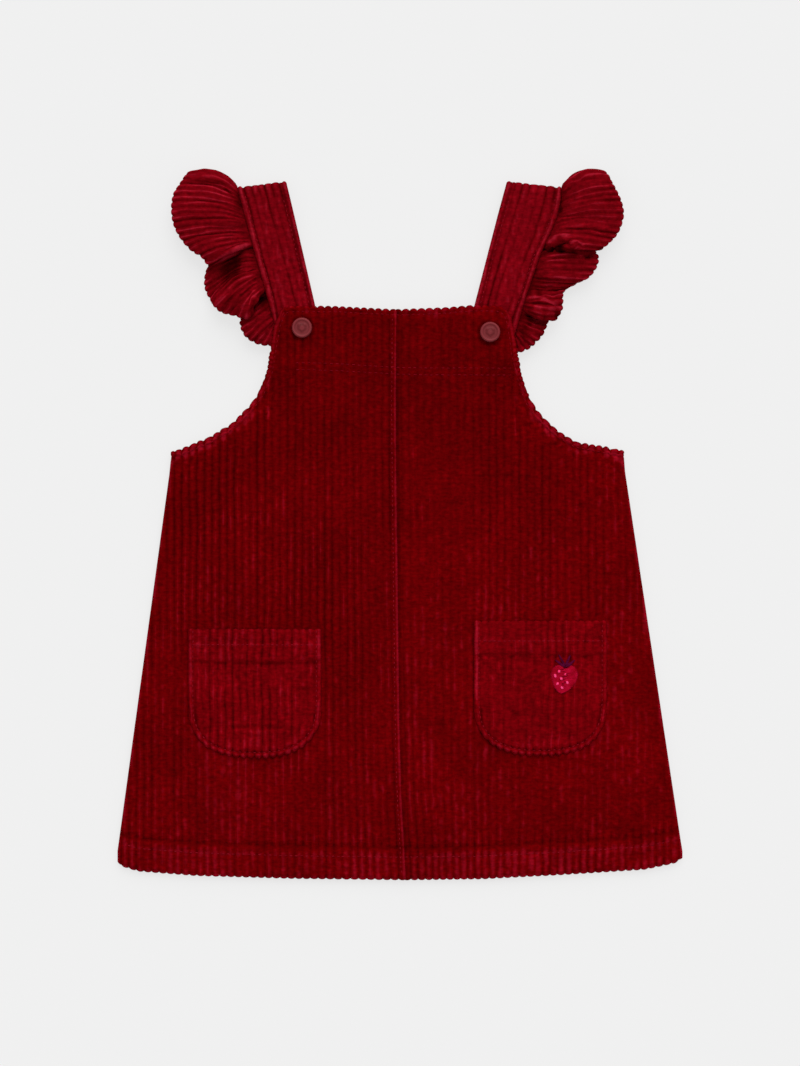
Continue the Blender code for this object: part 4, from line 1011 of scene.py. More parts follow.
def front_panel(name, side, upper_edge, seed):
    """One front: its columns follow the wales, from the centre seam to the side seam."""
    hand = "left" if side < 0 else "right"
    places = wale_places(HALF_WALES)
    pile = ridge(places)
    first = side * SEAM_GAP / 2.0 - side * SEAM_OVERLAP[side]
    across = first + (side * FRONT_HALF_WIDTH - first) * places / HALF_WALES
    edge = rounded(sorted(upper_edge), CORNER_REACH)
    right = to_right(edge)
    flatness = np.interp(across, edge[:, 0], np.abs(right[:, 1]))
    scallop = 2.0 * pile - 1.0
    foot = height_at(HEM, across) - HEM_SCALLOP * scallop
    tucked = edge + ROLL_TUCK * window(ROLLED_SPAN, edge[:, 1])[:, None] * right
    tucked = tucked[np.argsort(tucked[:, 0])]
    top = np.interp(across, tucked[:, 0], tucked[:, 1]) + SCALLOP * scallop * flatness
    top = np.maximum(top, foot + SIDE_CORNER_HEIGHT)
    y = row_heights(foot, top, FRONT_ROWS)
    lean = 1.0 - ease(0.0, DRIFT_REACH, np.abs(across))
    x = across[:, None] + lean[:, None] * read(SEAM_DRIFT, y)

    from_hem = y - foot[:, None]
    from_top = (top[:, None] - y) * flatness[:, None]
    from_seam = np.abs(across - first)[:, None]
    from_side = (FRONT_HALF_WIDTH - np.abs(across))[:, None]
    from_edge = np.minimum(np.minimum(from_hem, from_top), np.minimum(from_seam, from_side))
    free = ease(0.0, FREE_REACH, from_edge)
    on_armhole = ease(*ARMHOLE_FROM, y)
    at_neck = (1.0 - ease(62.0, 72.0, np.abs(x))) * ease(330.0, 340.0, y)
    crinkled = 0.35 + 0.65 * ease(-75.0, 10.0, x) * (1.0 - 0.4 * ease(120.0, 165.0, x))

    drift = grain("front_drift", x, y, seed) + crinkled * grain("front_crinkled_drift", x, y, seed)
    fine = creases(CREASES, x, y) + grain("front_folds", x, y, seed) * ease(4.0, 30.0, from_edge)
    inside_z = front_inside(x, y, fine)
    deep = 0.66 + grain("front_grooves", x, y, seed) - 0.22 * ease(0.0, 30.0, x)
    deep = deep + 0.34 * ease(-20.0, -50.0, x) * window(DEEP_SPAN, y)
    deep = deep + 0.30 * (1.0 - ease(18.0, 40.0, y)) - 0.12 * ease(296.0, 312.0, y)
    deep = np.clip(0.88 * deep * one_per_wale(places / 2.0, 0.7, 1.3, seed + 9)[:, None], 0.2, 1.1)
    wale = 1.0 - deep * (1.0 - pile[:, None])
    wale_number = np.round((places - 1.0) / 2.0)[:, None]
    bead = grain("front_beads", wale_number, y, seed)
    bead = (bead + crinkled * grain("front_long_beads", wale_number, y, seed)) * pile[:, None]
    pits = ease(0.45, 0.8, grain("front_pits", x, y, seed)) * bell(from_top - 5.6, 1.9) * on_armhole
    puckers = creases(PUCKERS, x, y)

    face = FRONT_CLOTH + WALE_HEIGHT * wale * (1.0 + grain("front_uneven", x, y, seed))
    face += grain("front_crinkle", x, y, seed) * crinkled * free + BEADS * bead
    face += HEM_TURN * window(HEM_TURN_SPAN, from_hem) + lines("hem", from_hem)
    face += on_armhole * (1.0 - ease(8.0, 30.0, from_top)) * (
        lines("edge_roll", from_top) - (0.42 - 0.27 * at_neck) * bell(from_top - EDGE_STITCH, 0.8))
    face += (1.0 - ease(240.0, 256.0, y)) * lines("side_top", from_top)
    for row_y in FACING_ROWS:
        face += window(FACING_SPAN, x) * lines("facing", y - facing_line(row_y, x))
    for ring_x, ring_y in FACING_RINGS:
        face += lines("ring", np.hypot(x - ring_x, y - ring_y))
    face += 0.5 * puckers - 0.5 * pits * (1.0 - ease(300.0, 318.0, y))
    face += lines("seam_ripple", from_seam) * grain("front_ripple", 0.0 * x, y, seed)
    face += lines(f"seam_{hand}", from_seam)
    if side < 0:
        face += SEAM_LAP * (1.0 - ease(*SEAM_LAP_REACH, from_seam))
    outer, inner = cloth_walls(x + WOBBLE * drift * free, x, y, inside_z, face, from_edge)

    shade = wale * (0.92 + grain("front_tone", x, y, seed)) + grain("front_nap", x, y, seed)
    shade = shade + 0.16 * bead + 0.16 * (1.0 - ease(20.0, 300.0, y)) - 0.08
    shade = shade + lines("waist_tone", y) * (np.abs(x) < 90.0)
    shade = shade + lines("rim_tone", from_edge) * (from_seam > 3.0)
    shade = shade + (0.14 + 0.12 * (x > 0.0)) * (1.0 - ease(15.0, 19.0, from_hem))
    shade = shade + lines("hem_tone", from_hem) + lines(f"seam_{hand}_tone", from_seam)
    # a painted highlight along each wale's crown
    crest_highlight = on_ridge(places) * (0.5 + grain("front_crest", x, y, seed))
    shade = shade + 0.26 * np.maximum(crest_highlight, 0.0) * (1.0 - 0.4 * ease(-20.0, 20.0, x))
    # darker over the bib, and painted shade in the pits along the armhole
    shade = shade - 0.30 * ease(292.0, 318.0, y) - 0.8 * pits * (y < 318.0)
    banded = ease(247.0, 254.0, y) * (1.0 - ease(4.5, 7.0, from_top)) * (
        1.0 - 0.55 * ease(278.0, 298.0, y) - 0.45 * ease(338.0, 346.0, y))
    tufts = ease(-0.3, 0.5, grain("front_tufts", x, y, seed)) * lines(
        "underarm", np.hypot(np.abs(x) - 133.0, y - 258.0))
    shade = shade + (0.52 + grain("front_band", x, y, seed)) * banded + tufts + puckers
    shade = shade + at_neck * lines("neck_tone", from_top) * ease(
        -0.7, 0.5, grain("front_neck", x, y, seed))
    for _, cap_x, cap_y in SNAPS:
        shade = shade + lines("cap_shadow", np.hypot(x - cap_x, y - cap_y + CAP_SHADOW_DROP))
    return shell(name, outer, inner, (8, 9), shade, body_cloth)


def back_panel():
    """The back in one piece, flat on the surface; its wales show on the side it lies on."""
    places = wale_places(2 * HALF_WALES)
    pile = ridge(places)
    reach = FRONT_HALF_WIDTH - BACK_INSET
    across = -reach + 2.0 * reach * places / (2 * HALF_WALES)
    foot = height_at(HEM, across) + BACK_EDGE_INSET
    top = height_at(LEFT_UPPER_EDGE + RIGHT_UPPER_EDGE[1:], across) - BACK_EDGE_INSET
    top = np.minimum(top - 8.0 * ease(139.0, 141.5, np.abs(across)), BACK_NECK_Y)
    top = np.maximum(top, foot + SIDE_CORNER_HEIGHT)
    y = row_heights(foot, top, BACK_ROWS)
    x = np.repeat(across[:, None], BACK_ROWS, axis=1)
    from_edge = np.minimum(np.minimum(y - foot[:, None], top[:, None] - y),
                           (reach - np.abs(across))[:, None])
    depth = 0.65 * (1.0 - pile)[:, None] * (1.0 + grain("back_uneven", x, y, 61))
    depth = np.maximum(depth + lines("back_hem", y - foot[:, None]), 0.0)
    depth = depth + 0.7 * (1.0 - edge_shape(from_edge, 1.6))
    under = np.stack([x, y, depth], axis=-1)
    upper = np.stack([x, y, np.full(x.shape, BACK_CLOTH)], axis=-1)
    return shell("back_cloth", under, upper, (8, 9), pile[:, None], body_cloth)


def pocket(name, middle, foot_y, width, height, seed):
    """A patch pocket, straight at the top and round at the foot, on the front's ridges."""
    places = wale_places(POCKET_HALF_WALES)
    pile = ridge(places)
    share = 2.0 * places / POCKET_HALF_WALES - 1.0
    across = middle + share * width / 2.0
    curve = pocket_foot(share)
    flatness = 1.0 / np.sqrt(1.0 + np.gradient(curve, across) ** 2)
    ridged = 2.0 * pile - 1.0
    scallop = SCALLOP * ridged * flatness
    foot = foot_y + curve - scallop
    wales = one_per_wale(places / 2.0, 0.6, 1.25, seed + 7)
    top = foot_y + height + 0.4 * ridged * wales
    y = row_heights(foot, top, POCKET_ROWS)
    x = np.repeat(across[:, None], POCKET_ROWS, axis=1)

    outline = np.stack([across, foot + scallop], axis=1)
    sides = [(across[0], foot_y + height), *map(tuple, outline[::4]), (across[-1], outline[-1, 1]),
             (across[-1], foot_y + height)]
    from_top = top[:, None] - y
    from_foot = (y - foot[:, None]) * flatness[:, None]
    from_rim = np.minimum(np.minimum(distance_to(sides, x, y), from_foot + 0.2), np.minimum(
        (across - across[0])[:, None], (across[-1] - across)[:, None]))
    from_rim = np.maximum(np.minimum(from_rim, from_foot), 0.0)
    from_edge = np.minimum(from_rim, from_top)
    free = ease(0.0, FREE_REACH, from_rim)
    up = y - foot_y
    depth, stitch, groove, tone = POCKET_LOOKS[name]
    below = from_top - depth - grain("pocket_fold", x, 0.0 * y, seed)
    band = 1.0 - ease(-1.2, 0.4, below)

    deep = groove * wales[:, None] * (1.0 + grain("pocket_grooves", x, y, seed))
    deep = deep * (1.0 + lines("pocket_shallow", from_rim))
    deep = np.clip(deep + lines("pocket_foot", up) * flatness[:, None], 0.1, 1.1)
    wale = 1.0 - deep * (1.0 - pile[:, None] * (
        free + (1.0 - free) * (0.35 + 0.65 * flatness[:, None])))
    bead = grain("pocket_beads", np.round((places - 1.0) / 2.0)[:, None], y, seed)
    wrinkles = creases(POCKET_CREASES[name], x, y)
    inside_z = front_face(x, y) + SEAM_GAP - 0.35 * (1.0 - ease(0.0, 5.0, from_rim))
    face = POCKET_CLOTH + WALE_HEIGHT * wale * (1.0 + grain("pocket_uneven", x, y, seed))
    face += 0.45 * band + lines("pocket_band", below) + lines("pocket_stitch", from_top - stitch)
    face += lines("pocket_rim", from_rim)
    face += lines("pocket_groove", from_rim) * (0.3 + 0.7 * ease(0.0, 3.0, from_top - depth))
    waves = np.sin((up - 0.10 * (x - middle)) / 2.1 + 0.002 * (x - middle) ** 2)
    face += 0.22 * waves * ease(0.0, 12.0, from_rim) * (1.0 - ease(30.0, 48.0, up))
    face += grain("pocket_swell", x, y, seed) * ease(0.0, 8.0, from_edge) + wrinkles
    face += (grain("pocket_crinkle", x, y, seed) + 0.26 * bead) * ease(0.0, 5.0, from_edge)
    drift = grain("pocket_drift", x, y, seed) * ease(0.0, FREE_REACH, from_edge)
    outer, inner = cloth_walls(x + drift, x, y, inside_z, face, from_edge, 1.8)

    shade = wale * (tone + grain("pocket_tone", x, y, seed)) + 0.22 * bead * pile[:, None]
    # a painted highlight along each wale's crown
    crest_highlight = on_ridge(places) * (0.4 + grain("pocket_crest", x, y, seed))
    shade = shade + grain("pocket_nap", x, y, seed) + 0.30 * np.maximum(crest_highlight, 0.0)
    # painted highlight on the rim, painted shade in the groove inside it and in the pits at the foot
    shade = shade + lines("pocket_rim_tone", from_rim) + 0.10 * band
    at_foot = flatness[:, None] * (1.0 - ease(28.0, 40.0, up))
    shade = shade + at_foot * (lines("pocket_foot_seam", from_rim) + lines(
        "pocket_foot_pits", from_rim) * (1.0 - pile[:, None]))
    shade = shade + lines("pocket_foot_tone", up) + lines("pocket_stitch_tone", from_top - stitch)
    # painted shade under the fold of the turned band and in the creases, painted light on raised
    # creases
    broken = 0.34 + grain("pocket_broken", x, 0.0 * y, seed)
    shade = shade + broken * lines("pocket_fold_tone", below) + 0.8 * wrinkles
    if name == "pocket_right":
        shade = shade + lines("pocket_side_tone", x - across[0]) * ease(105.0, 120.0, y)
    return shell(f"{name}_cloth", outer, inner, (8, 7), shade, pocket_cloth)


def strap_path():
    """Stations along a strap: y at its armhole edge, height, and which way its outside faces."""
    steps = round((STRAP_FOLD_Y - STRAP_END_Y) / STRAP_STEP)
    stations = [(y, STRAP_FRONT_Z, 0.0) for y in np.linspace(STRAP_END_Y, STRAP_FOLD_Y, steps + 1)]
    radius = (STRAP_FRONT_Z - STRAP_BACK_Z) / 2.0
    for angle in np.radians(np.arange(15.0, 170.0, 15.0)):
        y = STRAP_FOLD_Y + radius * math.sin(angle)
        stations.append((y, STRAP_BACK_Z + radius * (1.0 + math.cos(angle)), angle))
    steps = round((STRAP_FOLD_Y - STRAP_BACK_END_Y) / STRAP_STEP)
    for y in np.linspace(STRAP_FOLD_Y, STRAP_BACK_END_Y, steps + 1):
        share = 1.0 - float(ease(*STRAP_JOIN_RAMP, y))
        stations.append((y, STRAP_BACK_Z + (STRAP_JOIN_Z - STRAP_BACK_Z) * share, math.pi))
    return stations


def strap(name, edges, seed):
    """A band with wales along it and a turned edge at either side."""
    places = wale_places(2 * STRAP_WALES)
    share = places / places[-1]
    pile = ridge(places)
    half = STRAP_CLOTH / 2.0
    grooves = np.array(STRAP_GROOVES[name])[np.round(places / 2.0).astype(int)]
    outer, inner, shade = [], [], []
    for y, z, turn in strap_path():
        row_y = y + STRAP_FOLD_TILT * ease(STRAP_END_Y, STRAP_FOLD_Y, y) * share
        low, high = read(edges, y, 1), read(edges, y, 2)
        width = abs(high - low)
        from_arm, from_neck = width * share, width * (1.0 - share)
        from_edge = np.minimum(from_arm, from_neck)
        along = y + 0.0 * share
        wander = grain("strap_wander", share * 30.0, along, seed) * ease(0.0, 5.0, from_edge)
        x = low * (1.0 - share) + high * share + wander
        deep = grooves * (0.85 + grain("strap_grooves", share * 30.0, along, seed))
        at_fold = lines("strap_fold", y - STRAP_FOLD_Y)
        wale = 1.0 - np.clip(deep + at_fold, 0.1, 1.3) * (1.0 - pile)
        rise = STRAP_WALE_HEIGHT * wale * (1.0 + grain("strap_uneven", x, row_y, seed))
        rise = rise + grain("strap_swell", x, row_y, seed) * ease(0.0, 4.0, from_edge)
        rise = rise + lines("strap_arm", from_arm) + lines("strap_neck", from_neck)
        raised = half + np.maximum(rise, -0.45) * (0.25 + 0.75 * (0.5 + 0.5 * math.cos(turn)))
        raised = half * 0.35 + (raised - half * 0.35) * edge_shape(from_edge, 1.6)
        facing = (math.sin(turn), math.cos(turn))
        outer.append(np.stack([x, row_y + raised * facing[0],
                               np.maximum(z + raised * facing[1], 0.0)], axis=-1))
        inner_z = np.full(x.shape, z - half * facing[1])
        inner.append(np.stack([x, row_y - half * facing[0], inner_z], axis=-1))
        # painted highlight on each turned edge, painted shade in the stitched groove beside it, and
        # random nap; the crowns lighter at the fold
        wear_and_painted_light = lines("strap_arm_tone", from_arm) + lines("strap_neck_tone", from_neck)
        wear_and_painted_light = wear_and_painted_light + grain("strap_nap", x, row_y, seed)
        shade.append(wale + wear_and_painted_light + lines("strap_fold_tone", y - STRAP_FOLD_Y) * pile)
    return shell(f"{name}_cloth", np.array(outer), np.array(inner), (6, 4), shade, strap_cloth)


def frill_surface(rows, edges, side, places, across):
    """Points of the frill's middle surface, from seam to free edge at each place."""
    rows = through(rows, places)
    seam_x = read(edges, rows[:, 0], 1) + side * (SEAM_GAP - FRILL_TUCK)
    seam = np.stack([seam_x, rows[:, 0], rows[:, 1]], axis=-1)[:, None]
    middle = rows[:, None, 2:5]
    free = rows[:, None, 5:8]
    w = across[None, :, None]
    return (seam * (1.0 - w) * (1.0 - 2.0 * w) + middle * 4.0 * w * (1.0 - w)
            + free * w * (2.0 * w - 1.0))


def frill(name, side, front_rows, edges, seed):
    """A gathered frill, over the shoulder and down behind, with wales on its upper side."""
    behind = np.array(FRILL_BEHIND)
    behind[:, [2, 5]] = read(edges, behind[:, 0], 1)[:, None] + side * behind[:, [2, 5]]
    rows = np.concatenate([np.array(front_rows), behind])
    across = 1.0 - (1.0 - np.linspace(0.0, 1.0, FRILL_ACROSS)) ** FRILL_CROWDING

    fine = np.linspace(0.0, len(rows) - 1.0, CURVE_SAMPLES * len(rows))
    path = frill_surface(rows, edges, side, fine, np.array([FRILL_SPACING_LINE]))[:, 0]
    length = np.concatenate([[0.0], np.cumsum(np.linalg.norm(np.diff(path, axis=0), axis=1))])
    turn = float(np.interp(len(front_rows) + 1, fine, length))
    stops = np.arange(0.0, length[-1], FRILL_WALE / FRILL_STEPS)
    places = np.interp(stops, length, fine)
    middle = frill_surface(rows, edges, side, places, across)
    front = 1.0 - ease(turn - FRILL_WALE_FADE, turn, stops)[:, None]
    relief = creases(FRILL_RELIEF[side], middle[..., 0], middle[..., 1])
    middle[..., 2] = np.maximum(middle[..., 2] + relief * front, 0.7)

    out = np.gradient(middle, across, axis=1)
    out[:, 0] = (side, 0.0, 0.0)
    facing = side * np.cross(out, np.gradient(middle, axis=0))
    facing /= np.maximum(np.linalg.norm(facing, axis=-1), 1e-9)[..., None]
    s, across = stops[:, None], across[None, :]
    w = across * FRILL_WIDTH
    from_free = (1.0 - across) * FRILL_WIDTH
    place_y = middle[..., 1]
    turns = (s + grain("frill_bend", s, w, seed) * (1.0 - ease(0.75, 1.0, across))) / FRILL_WALE
    pile = ridge(2.0 * turns)
    strength = (0.74 - 0.12 * ease(384.0, 396.0, place_y)) * one_per_wale(
        turns, 0.4, 1.25, seed + 10) * (0.95 + grain("frill_grooves", s, w, seed)) * (
        1.0 - 0.4 * ease(416.0, 424.0, place_y))
    strength = np.clip(strength * (0.3 + 0.7 * ease(0.06, 0.42, across)), 0.06, 1.3)
    rib = 1.0 - (strength + 0.4 * ease(0.86, 1.0, across)) * (1.0 - pile)

    fade = 0.35 + 0.65 * front
    crumple = grain("frill_crumple", s, w, seed) * ease(0.1, 0.4, across)
    raised = FRILL_WALE_HEIGHT * rib * (1.0 + grain("frill_uneven", s, w, seed)) * fade
    raised = raised + grain("frill_gather", s, w, seed) * bell(across - 0.12, 0.2)
    raised = raised + crumple * (1.0 - 0.6 * ease(380.0, 392.0, place_y))
    half = FRILL_CLOTH / 2.0 * (0.4 + 0.6 * ease(0.0, 0.12, across))
    rim = edge_shape(from_free, 1.6)
    edge_out = out[:, -1:] / np.linalg.norm(out[:, -1:], axis=-1, keepdims=True)
    scallop = (0.9 * (pile[:, -1:] - 0.5) * fade * ease(0.8, 1.0, across))[..., None] * edge_out
    walls = []
    for way, thick in ((1.0, half + raised * ease(0.0, 0.14, across)), (-1.0, half)):
        wall = middle + way * facing * (0.25 + (thick - 0.25) * rim)[..., None] + scallop
        wall[..., 2] = np.maximum(wall[..., 2], 0.0)
        walls.append(wall)

    shade = rib * (0.78 + grain("frill_tone", s, w, seed)) + grain("frill_nap", s, w, seed)
    # a painted highlight on the lit flank of each rib
    crest_highlight = bell(np.mod(turns, 1.0) - 0.55, 0.11) * (0.5 + grain("frill_crest", s, w, seed))
    shade = shade + 0.85 * np.maximum(crest_highlight, 0.0) * ease(0.05, 0.3, across)
    shade = shade + lines("frill_edge_tone", from_free) + lines("frill_seam_tone", w)
    seam_y = through(rows, places)[:, 0]
    # painted shade in the hollows under the frill's lobes
    at_seam, outside = (read(FRILL_HOLLOW_SHADE_ROWS[side], seam_y, k)[:, None] for k in (1, 2))
    outward = ease(0.26, 0.42, across)
    if side < 0:
        outside = outside * (1.0 - 0.85 * ease(0.58, 0.82, across))
    shade = shade - FRILL_HOLLOW_SHADE_STRENGTH * (at_seam * (1.0 - outward) + outside * outward) * front
    # painted highlights and painted shade at single places on the frill
    shade = shade + creases(FRILL_PAINTED_LIGHT[side], middle[..., 0], middle[..., 1]) * front
    return shell(f"{name}_cloth", *walls, (1, 1), shade, frill_cloth)


def heart(u, v):
    """Below 0 inside a plain heart about 2 across."""
    return (u * u + v * v - 1.0) ** 3 - u * u * v ** 3


def snap_cap(name, x, y):
    """A moulded cap with a raised rim and a plain raised heart."""
    radius, height = (column[:, None] for column in np.array(CAP_PROFILE).T)
    turn = np.arange(SNAP_STEPS)[None, :] * 2.0 * math.pi / SNAP_STEPS
    u, v = radius * np.cos(turn), radius * np.sin(turn)
    from_heart = heart(u / HEART_SIZE, v / HEART_SIZE + 0.1)
    inside = 1.0 - ease(-0.3, 0.3, from_heart)
    lift = HEART_LIFT * inside * (radius < 4.0)
    heart_edge_shade = bell(from_heart, 0.35) * (radius < 3.6)
    # painted light on the cap: the raised rim lighter, painted shade along the heart's edge and in the
    # step inside the rim
    shade = np.where(radius < 4.2, 0.62 + 0.14 * inside - 0.42 * heart_edge_shade,
                     0.35 + lines("cap_rim_tone", radius)) + lines("cap_step_tone", radius)
    around = np.linspace(0.0, 2.0 * math.pi, 28)
    ring = front_face(x + SNAP_RADIUS * np.cos(around), y + SNAP_RADIUS * np.sin(around))
    base = float(ring.max()) + SEAM_GAP
    points = np.stack([x + u, y + v, base + height + lift], axis=-1).reshape(-1, 3)
    top, bottom = len(points), len(points) + 1
    points = np.vstack([points, (x, y, base + CAP_TOP + HEART_LIFT), (x, y, base)])
    ids = np.arange(len(radius) * SNAP_STEPS).reshape(-1, SNAP_STEPS)
    first, last = ids[0].tolist(), ids[-1].tolist()
    faces = ring_faces(ids)
    faces += [(top, i, j) for i, j in zip(first, first[1:] + first[:1])]
    faces += [(bottom, j, i) for i, j in zip(last, last[1:] + last[:1])]
    return add_piece(f"{name}_moulding", points, faces, snap_resin,
                     np.append(shade.ravel(), (0.75, 0.0)))


def armhole_roll(name, edge, seed):
    """The armhole's turned edge: a low roll, drawn into beads by its stitches."""
    line = evenly(edge[edge[:, 1] > ROLL_FOOT_Y], ROLL_STEP)
    right = to_right(line)
    run = np.arange(len(line)) * ROLL_STEP
    upright = ease(0.86, 0.97, np.abs(right[:, 0]))
    across = HALF_WALES * np.abs(line[:, 0]) / FRONT_HALF_WIDTH
    level_beads = ridge(across + grain("roll_level", run, 0.0, seed))
    steep_beads = ridge(2.0 * (run + grain("roll_steep", run, 0.0, seed)) / ROLL_BEAD_PITCH)
    beads = level_beads * (1.0 - upright) + (0.35 + 0.5 * steep_beads) * upright
    plain = 0.8 * ease(*ROLL_PLAIN_FROM, line[:, 1])
    beads = beads * (1.0 - plain) + 0.62 * plain
    uneven = 1.0 + grain("roll_uneven", run, 0.0, seed)
    taper = np.sqrt(ease(-0.8, 2.5, np.minimum(run, run[::-1])))
    turn = (np.arange(ROLL_SIDES) * 2.0 * math.pi / ROLL_SIDES)[None, :]
    swell = (0.52 + 0.62 * beads) * uneven * taper
    out = np.cos(turn) * ROLL_HALF_WIDTH * np.where(np.cos(turn) < 0.0, swell[:, None], 0.9)
    up = np.sin(turn) * ROLL_HALF_HEIGHT * ((0.62 + 0.44 * beads * uneven) * taper)[:, None]
    centre = line + right * ROLL_MIDDLE
    base = front_inside(*centre.T) + ROLL_BASE
    points = np.stack([centre[:, 0, None] + right[:, 0, None] * out,
                       centre[:, 1, None] + right[:, 1, None] * out, base[:, None] + up], axis=-1)
    ids = np.arange(len(line) * ROLL_SIDES).reshape(len(line), ROLL_SIDES)
    faces = ring_faces(ids) + [ids[0].tolist(), ids[-1, ::-1].tolist()]
    # painted light: each roll lighter on its upper half and darker underneath, most on the beads
    shade = 0.25 + (1.25 * beads + 0.35 * plain)[:, None] * (0.5 + 0.5 * np.sin(turn))
    add_piece(name, points.reshape(-1, 3), faces, body_cloth, shade.ravel())


left_edge = rounded(sorted(LEFT_UPPER_EDGE), CORNER_REACH)
right_edge = rounded(sorted(RIGHT_UPPER_EDGE), CORNER_REACH)
armhole_roll("armhole_roll_left", left_edge[left_edge[:, 0] < ROLL_ENDS_X[0]], 91)
armhole_roll("armhole_roll_right", right_edge[right_edge[:, 0] > ROLL_ENDS_X[1]], 92)
made = {  # by the node that each replaces
    "front_panel_left": front_panel("front_left_cloth", -1, LEFT_UPPER_EDGE, 10),
    "front_panel_right": front_panel("front_right_cloth", 1, RIGHT_UPPER_EDGE, 20),
    "back_panel": back_panel(),
    "pocket_left": pocket("pocket_left", *POCKETS["pocket_left"], 30),
    "pocket_right": pocket("pocket_right", *POCKETS["pocket_right"], 40),
    "strap_left": strap("strap_left", LEFT_STRAP, 50),
    "strap_right": strap("strap_right", RIGHT_STRAP, 55),
    "ruffle_left": frill("ruffle_left", -1, LEFT_FRILL_FRONT, LEFT_STRAP, 70),
    "ruffle_right": frill("ruffle_right", 1, RIGHT_FRILL_FRONT, RIGHT_STRAP, 80),
}
made.update((row[0], snap_cap(*row)) for row in SNAPS)
for replaced, piece in made.items():
    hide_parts(replaced)


# Stitching

def sew_on(name, rows, seed):
    """Rows of stitches on one piece."""
    height = surface_under(made[name])
    paths = [stitches(row, height, *PATCH_STITCH, seed=seed + k) for k, row in enumerate(rows)]
    threads(f"{name}_stitching", np.concatenate(paths), STITCH_HALF_WIDTH, seam_thread)


body_height = surface_under(made["front_panel_left"], made["front_panel_right"])
edge_rows = []
for edge, seed in ((left_edge, 102), (right_edge, 103)):
    line = edge + EDGE_STITCH * to_right(edge)
    edge_rows.append(stitches(line[line[:, 1] > EDGE_STITCH_FOOT_Y], body_height, lift=0.08, seed=seed))
for row_y, seed in zip(FACING_ROWS, (105, 106)):
    row_x = np.linspace(FACING_ENDS[0] - 14.0, FACING_ENDS[1], 60)
    line = np.stack([row_x, facing_line(row_y, row_x)], axis=1)
    edge_rows.append(stitches(line, body_height, *FACING_STITCH, seed=seed))
threads("edge_stitching", np.concatenate(edge_rows), STITCH_HALF_WIDTH, edge_thread)

hem_line = rounded(HEM, CORNER_REACH) + np.array((0.0, HEM_STITCH_Y))
hem_line = hem_line[np.abs(hem_line[:, 0]) < HEM_STITCH_REACH]
seam_y = np.linspace(*SEAM_STITCH_SPAN, 60)
seam_line = np.stack([read(SEAM_DRIFT, seam_y) - SEAM_STITCH, seam_y], axis=1)
body_rows = [stitches(hem_line, body_height, seed=101),
             stitches(seam_line, body_height, *SEAM_STITCH_SIZE, seed=104)]
threads("body_stitching", np.concatenate(body_rows), STITCH_HALF_WIDTH, seam_thread)

for (name, (middle, foot_y, width, height)), seed in zip(POCKETS.items(), (120, 130)):
    share = np.sin(np.linspace(-0.5, 0.5, 90) * math.pi)
    x, top = middle + share * width / 2.0, foot_y + height
    foot = np.stack([x, foot_y + pocket_foot(share)], axis=1)
    rim = rounded(np.vstack([(x[0], top), foot, (x[-1], top)]), 2.0)
    band_y, reach = top - POCKET_LOOKS[name][1], width / 2.0 - 2.0
    band = np.array(((middle - reach, band_y), (middle + reach, band_y)))
    sew_on(name, (rim - POCKET_STITCH * to_right(rim), band), seed)

for name, edges, sign, seed in (("strap_left", LEFT_STRAP, 1.0, 140),
                                ("strap_right", RIGHT_STRAP, -1.0, 150)):
    row_y = np.linspace(*STRAP_STITCH_SPAN, 60)
    sew_on(name, [np.stack([read(edges, row_y, column) + sign * inset, row_y], axis=1)
                  for column, inset in STRAP_STITCH_INSETS], seed)


# Strawberry embroidered on the right pocket

berry_ground = surface_under(made["pocket_right"])


def satin(ends, lift, rng):
    """Threads laid side by side between pairs of points."""
    paths = []
    for (x_a, y_a), (x_b, y_b) in ends:
        share = np.linspace(0.0, 1.0, 9)
        flat = np.stack([x_a + (x_b - x_a) * share, y_a + (y_b - y_a) * share], axis=1)
        flat += rng.uniform(-0.05, 0.05, (1, 2))
        arch = lift * np.sqrt(np.clip(1.0 - np.abs(2.0 * share - 1.0) ** 4, 0.0, 1.0))
        z = berry_ground(flat)
        z = 0.75 * z.max() + 0.25 * z + arch
        z[[0, -1]] -= 0.5
        paths.append(np.column_stack([flat, z]))
    return paths


rng = np.random.default_rng(7)
ends = []
for v in np.arange(BERRY_ROWS[0][0], BERRY_ROWS[-1][0], BERRY_PITCH):
    left, right = (float(read(BERRY_ROWS, v, k)) for k in (1, 2))
    y = BERRY_MIDDLE[1] + v
    split = left + (right - left) * rng.uniform(0.35, 0.65)
    notch = 1.3 * max(0.0, v - BERRY_NOTCH[1])
    if notch > 0.0:
        halves = ((left, BERRY_NOTCH[0] - notch), (BERRY_NOTCH[0] + notch, right))
    else:
        halves = ((left, split + 0.7), (split - 0.7, right))
    for start, end in halves:
        if end - start > 0.8:
            start = BERRY_MIDDLE[0] + start + rng.uniform(-0.15, 0.15)
            ends.append(((start, y - 0.25), (BERRY_MIDDLE[0] + end, y + 0.25)))
threads("strawberry_berry", satin(ends, 0.55, rng), 0.27, berry_thread)
ends = []
for x, y, turn, length in SEEDS:
    half = np.array((math.sin(math.radians(turn)), math.cos(math.radians(turn)))) * length / 2.0
    centre = np.array(BERRY_MIDDLE) + (x, y)
    for beside in (-0.42, 0.0, 0.42):
        short = half * (1.0 - 0.5 * abs(beside))
        ends.append((centre - short + (beside, 0.0), centre + short + (beside, 0.0)))
threads("strawberry_seeds", satin(ends, 1.1, rng), 0.28, seed_thread)
ends = []
stalk = np.array(BERRY_MIDDLE) + STALK
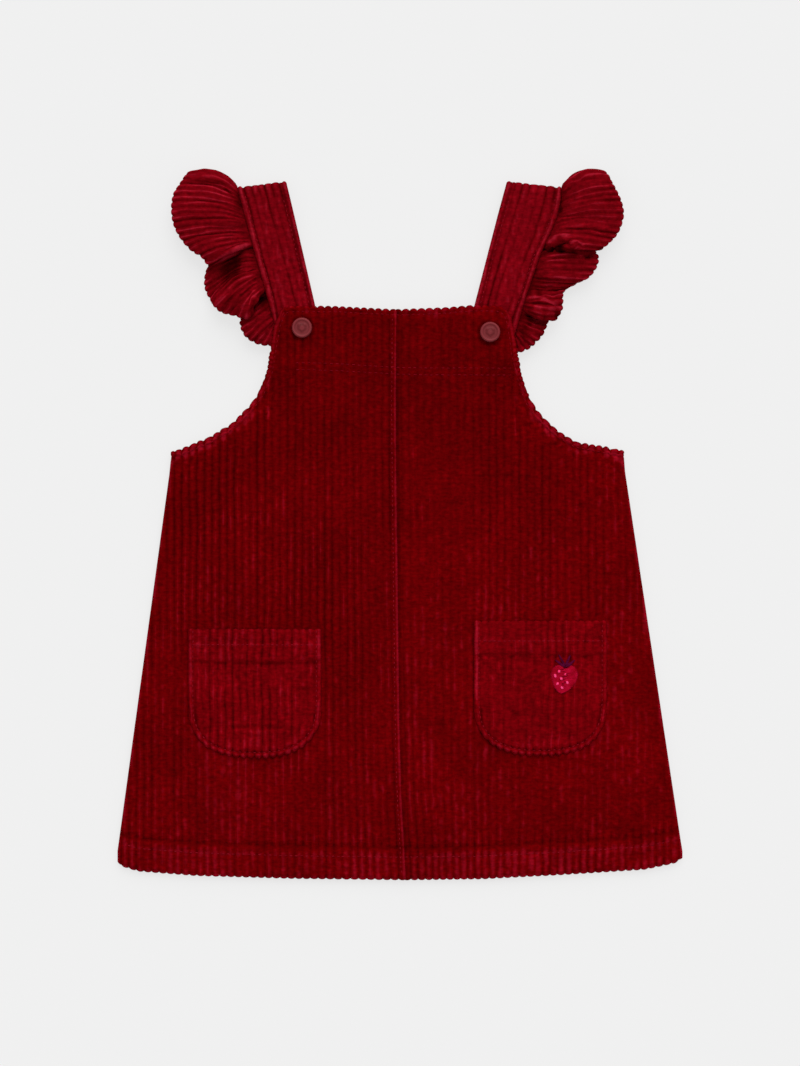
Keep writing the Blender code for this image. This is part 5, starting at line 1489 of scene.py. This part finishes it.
for middle_x, middle_y, tip_x, tip_y, half_width in LEAVES:
    halfway, tip = stalk + (middle_x, middle_y), stalk + (tip_x, tip_y)
    ahead = (tip - stalk) / np.linalg.norm(tip - stalk)
    beside = np.array((ahead[1], -ahead[0]))
    for offset in (-1.0, -0.35, 0.35, 1.0):
        bow = half_width * offset * beside
        ends.append((stalk + 0.5 * bow, halfway + bow))
        ends.append((stalk + 0.6 * (halfway - stalk) + 0.9 * bow,
                     tip + 0.35 * bow - 0.7 * abs(offset) * ahead))
for low in (-0.5, 0.0, 0.5, 1.0):
    wide = 2.6 - 0.5 * abs(low)
    ends.append((stalk + (-wide, low + 0.7), stalk + (0.3, low - 0.3)))
    ends.append((stalk + (-0.3, low - 0.3), stalk + (wide + 0.5, low + 0.9)))
threads("strawberry_leaves", satin(ends, 0.95, rng), 0.26, leaf_thread)


# Floor, light and camera

floor_mesh = bpy.data.meshes.new("floor")
floor_mesh.from_pydata([(x * FLOOR_REACH, y * FLOOR_REACH, FLOOR_Z)
                        for x, y in ((-1, -1), (1, -1), (1, 1), (-1, 1))], [], [(0, 1, 2, 3)])
floor = bpy.data.objects.new("floor", floor_mesh)
bpy.context.scene.collection.objects.link(floor)
paper, _, paper_shader = new_material("floor_paper", 0.9)
paper_shader.inputs["Base Color"].default_value = PAPER_COLOR
paper_shader.inputs["Emission Color"].default_value = WHITE
paper_shader.inputs["Emission Strength"].default_value = PAPER_GLOW
floor_mesh.materials.append(paper)

world = bpy.data.worlds.new("studio")
bpy.context.scene.world = world
world.use_nodes = True
world.node_tree.nodes["Background"].inputs["Color"].default_value = WHITE
world.node_tree.nodes["Background"].inputs["Strength"].default_value = SKY_STRENGTH
sun = bpy.data.lights.new("soft_key", "SUN")
sun.energy = SUN_ENERGY
sun.angle = math.radians(SUN_ANGLE)
key = bpy.data.objects.new("soft_key", sun)
key.rotation_euler = Vector(SUN_FROM).to_track_quat("Z", "Y").to_euler()
bpy.context.scene.collection.objects.link(key)

view = bpy.data.cameras.new("camera")
view.lens = CAMERA_LENS
view.sensor_width = 36.0
camera = bpy.data.objects.new("camera", view)
camera.location = CAMERA_AT
bpy.context.scene.collection.objects.link(camera)
bpy.context.scene.camera = camera
bpy.context.scene.view_settings.view_transform = "Standard"
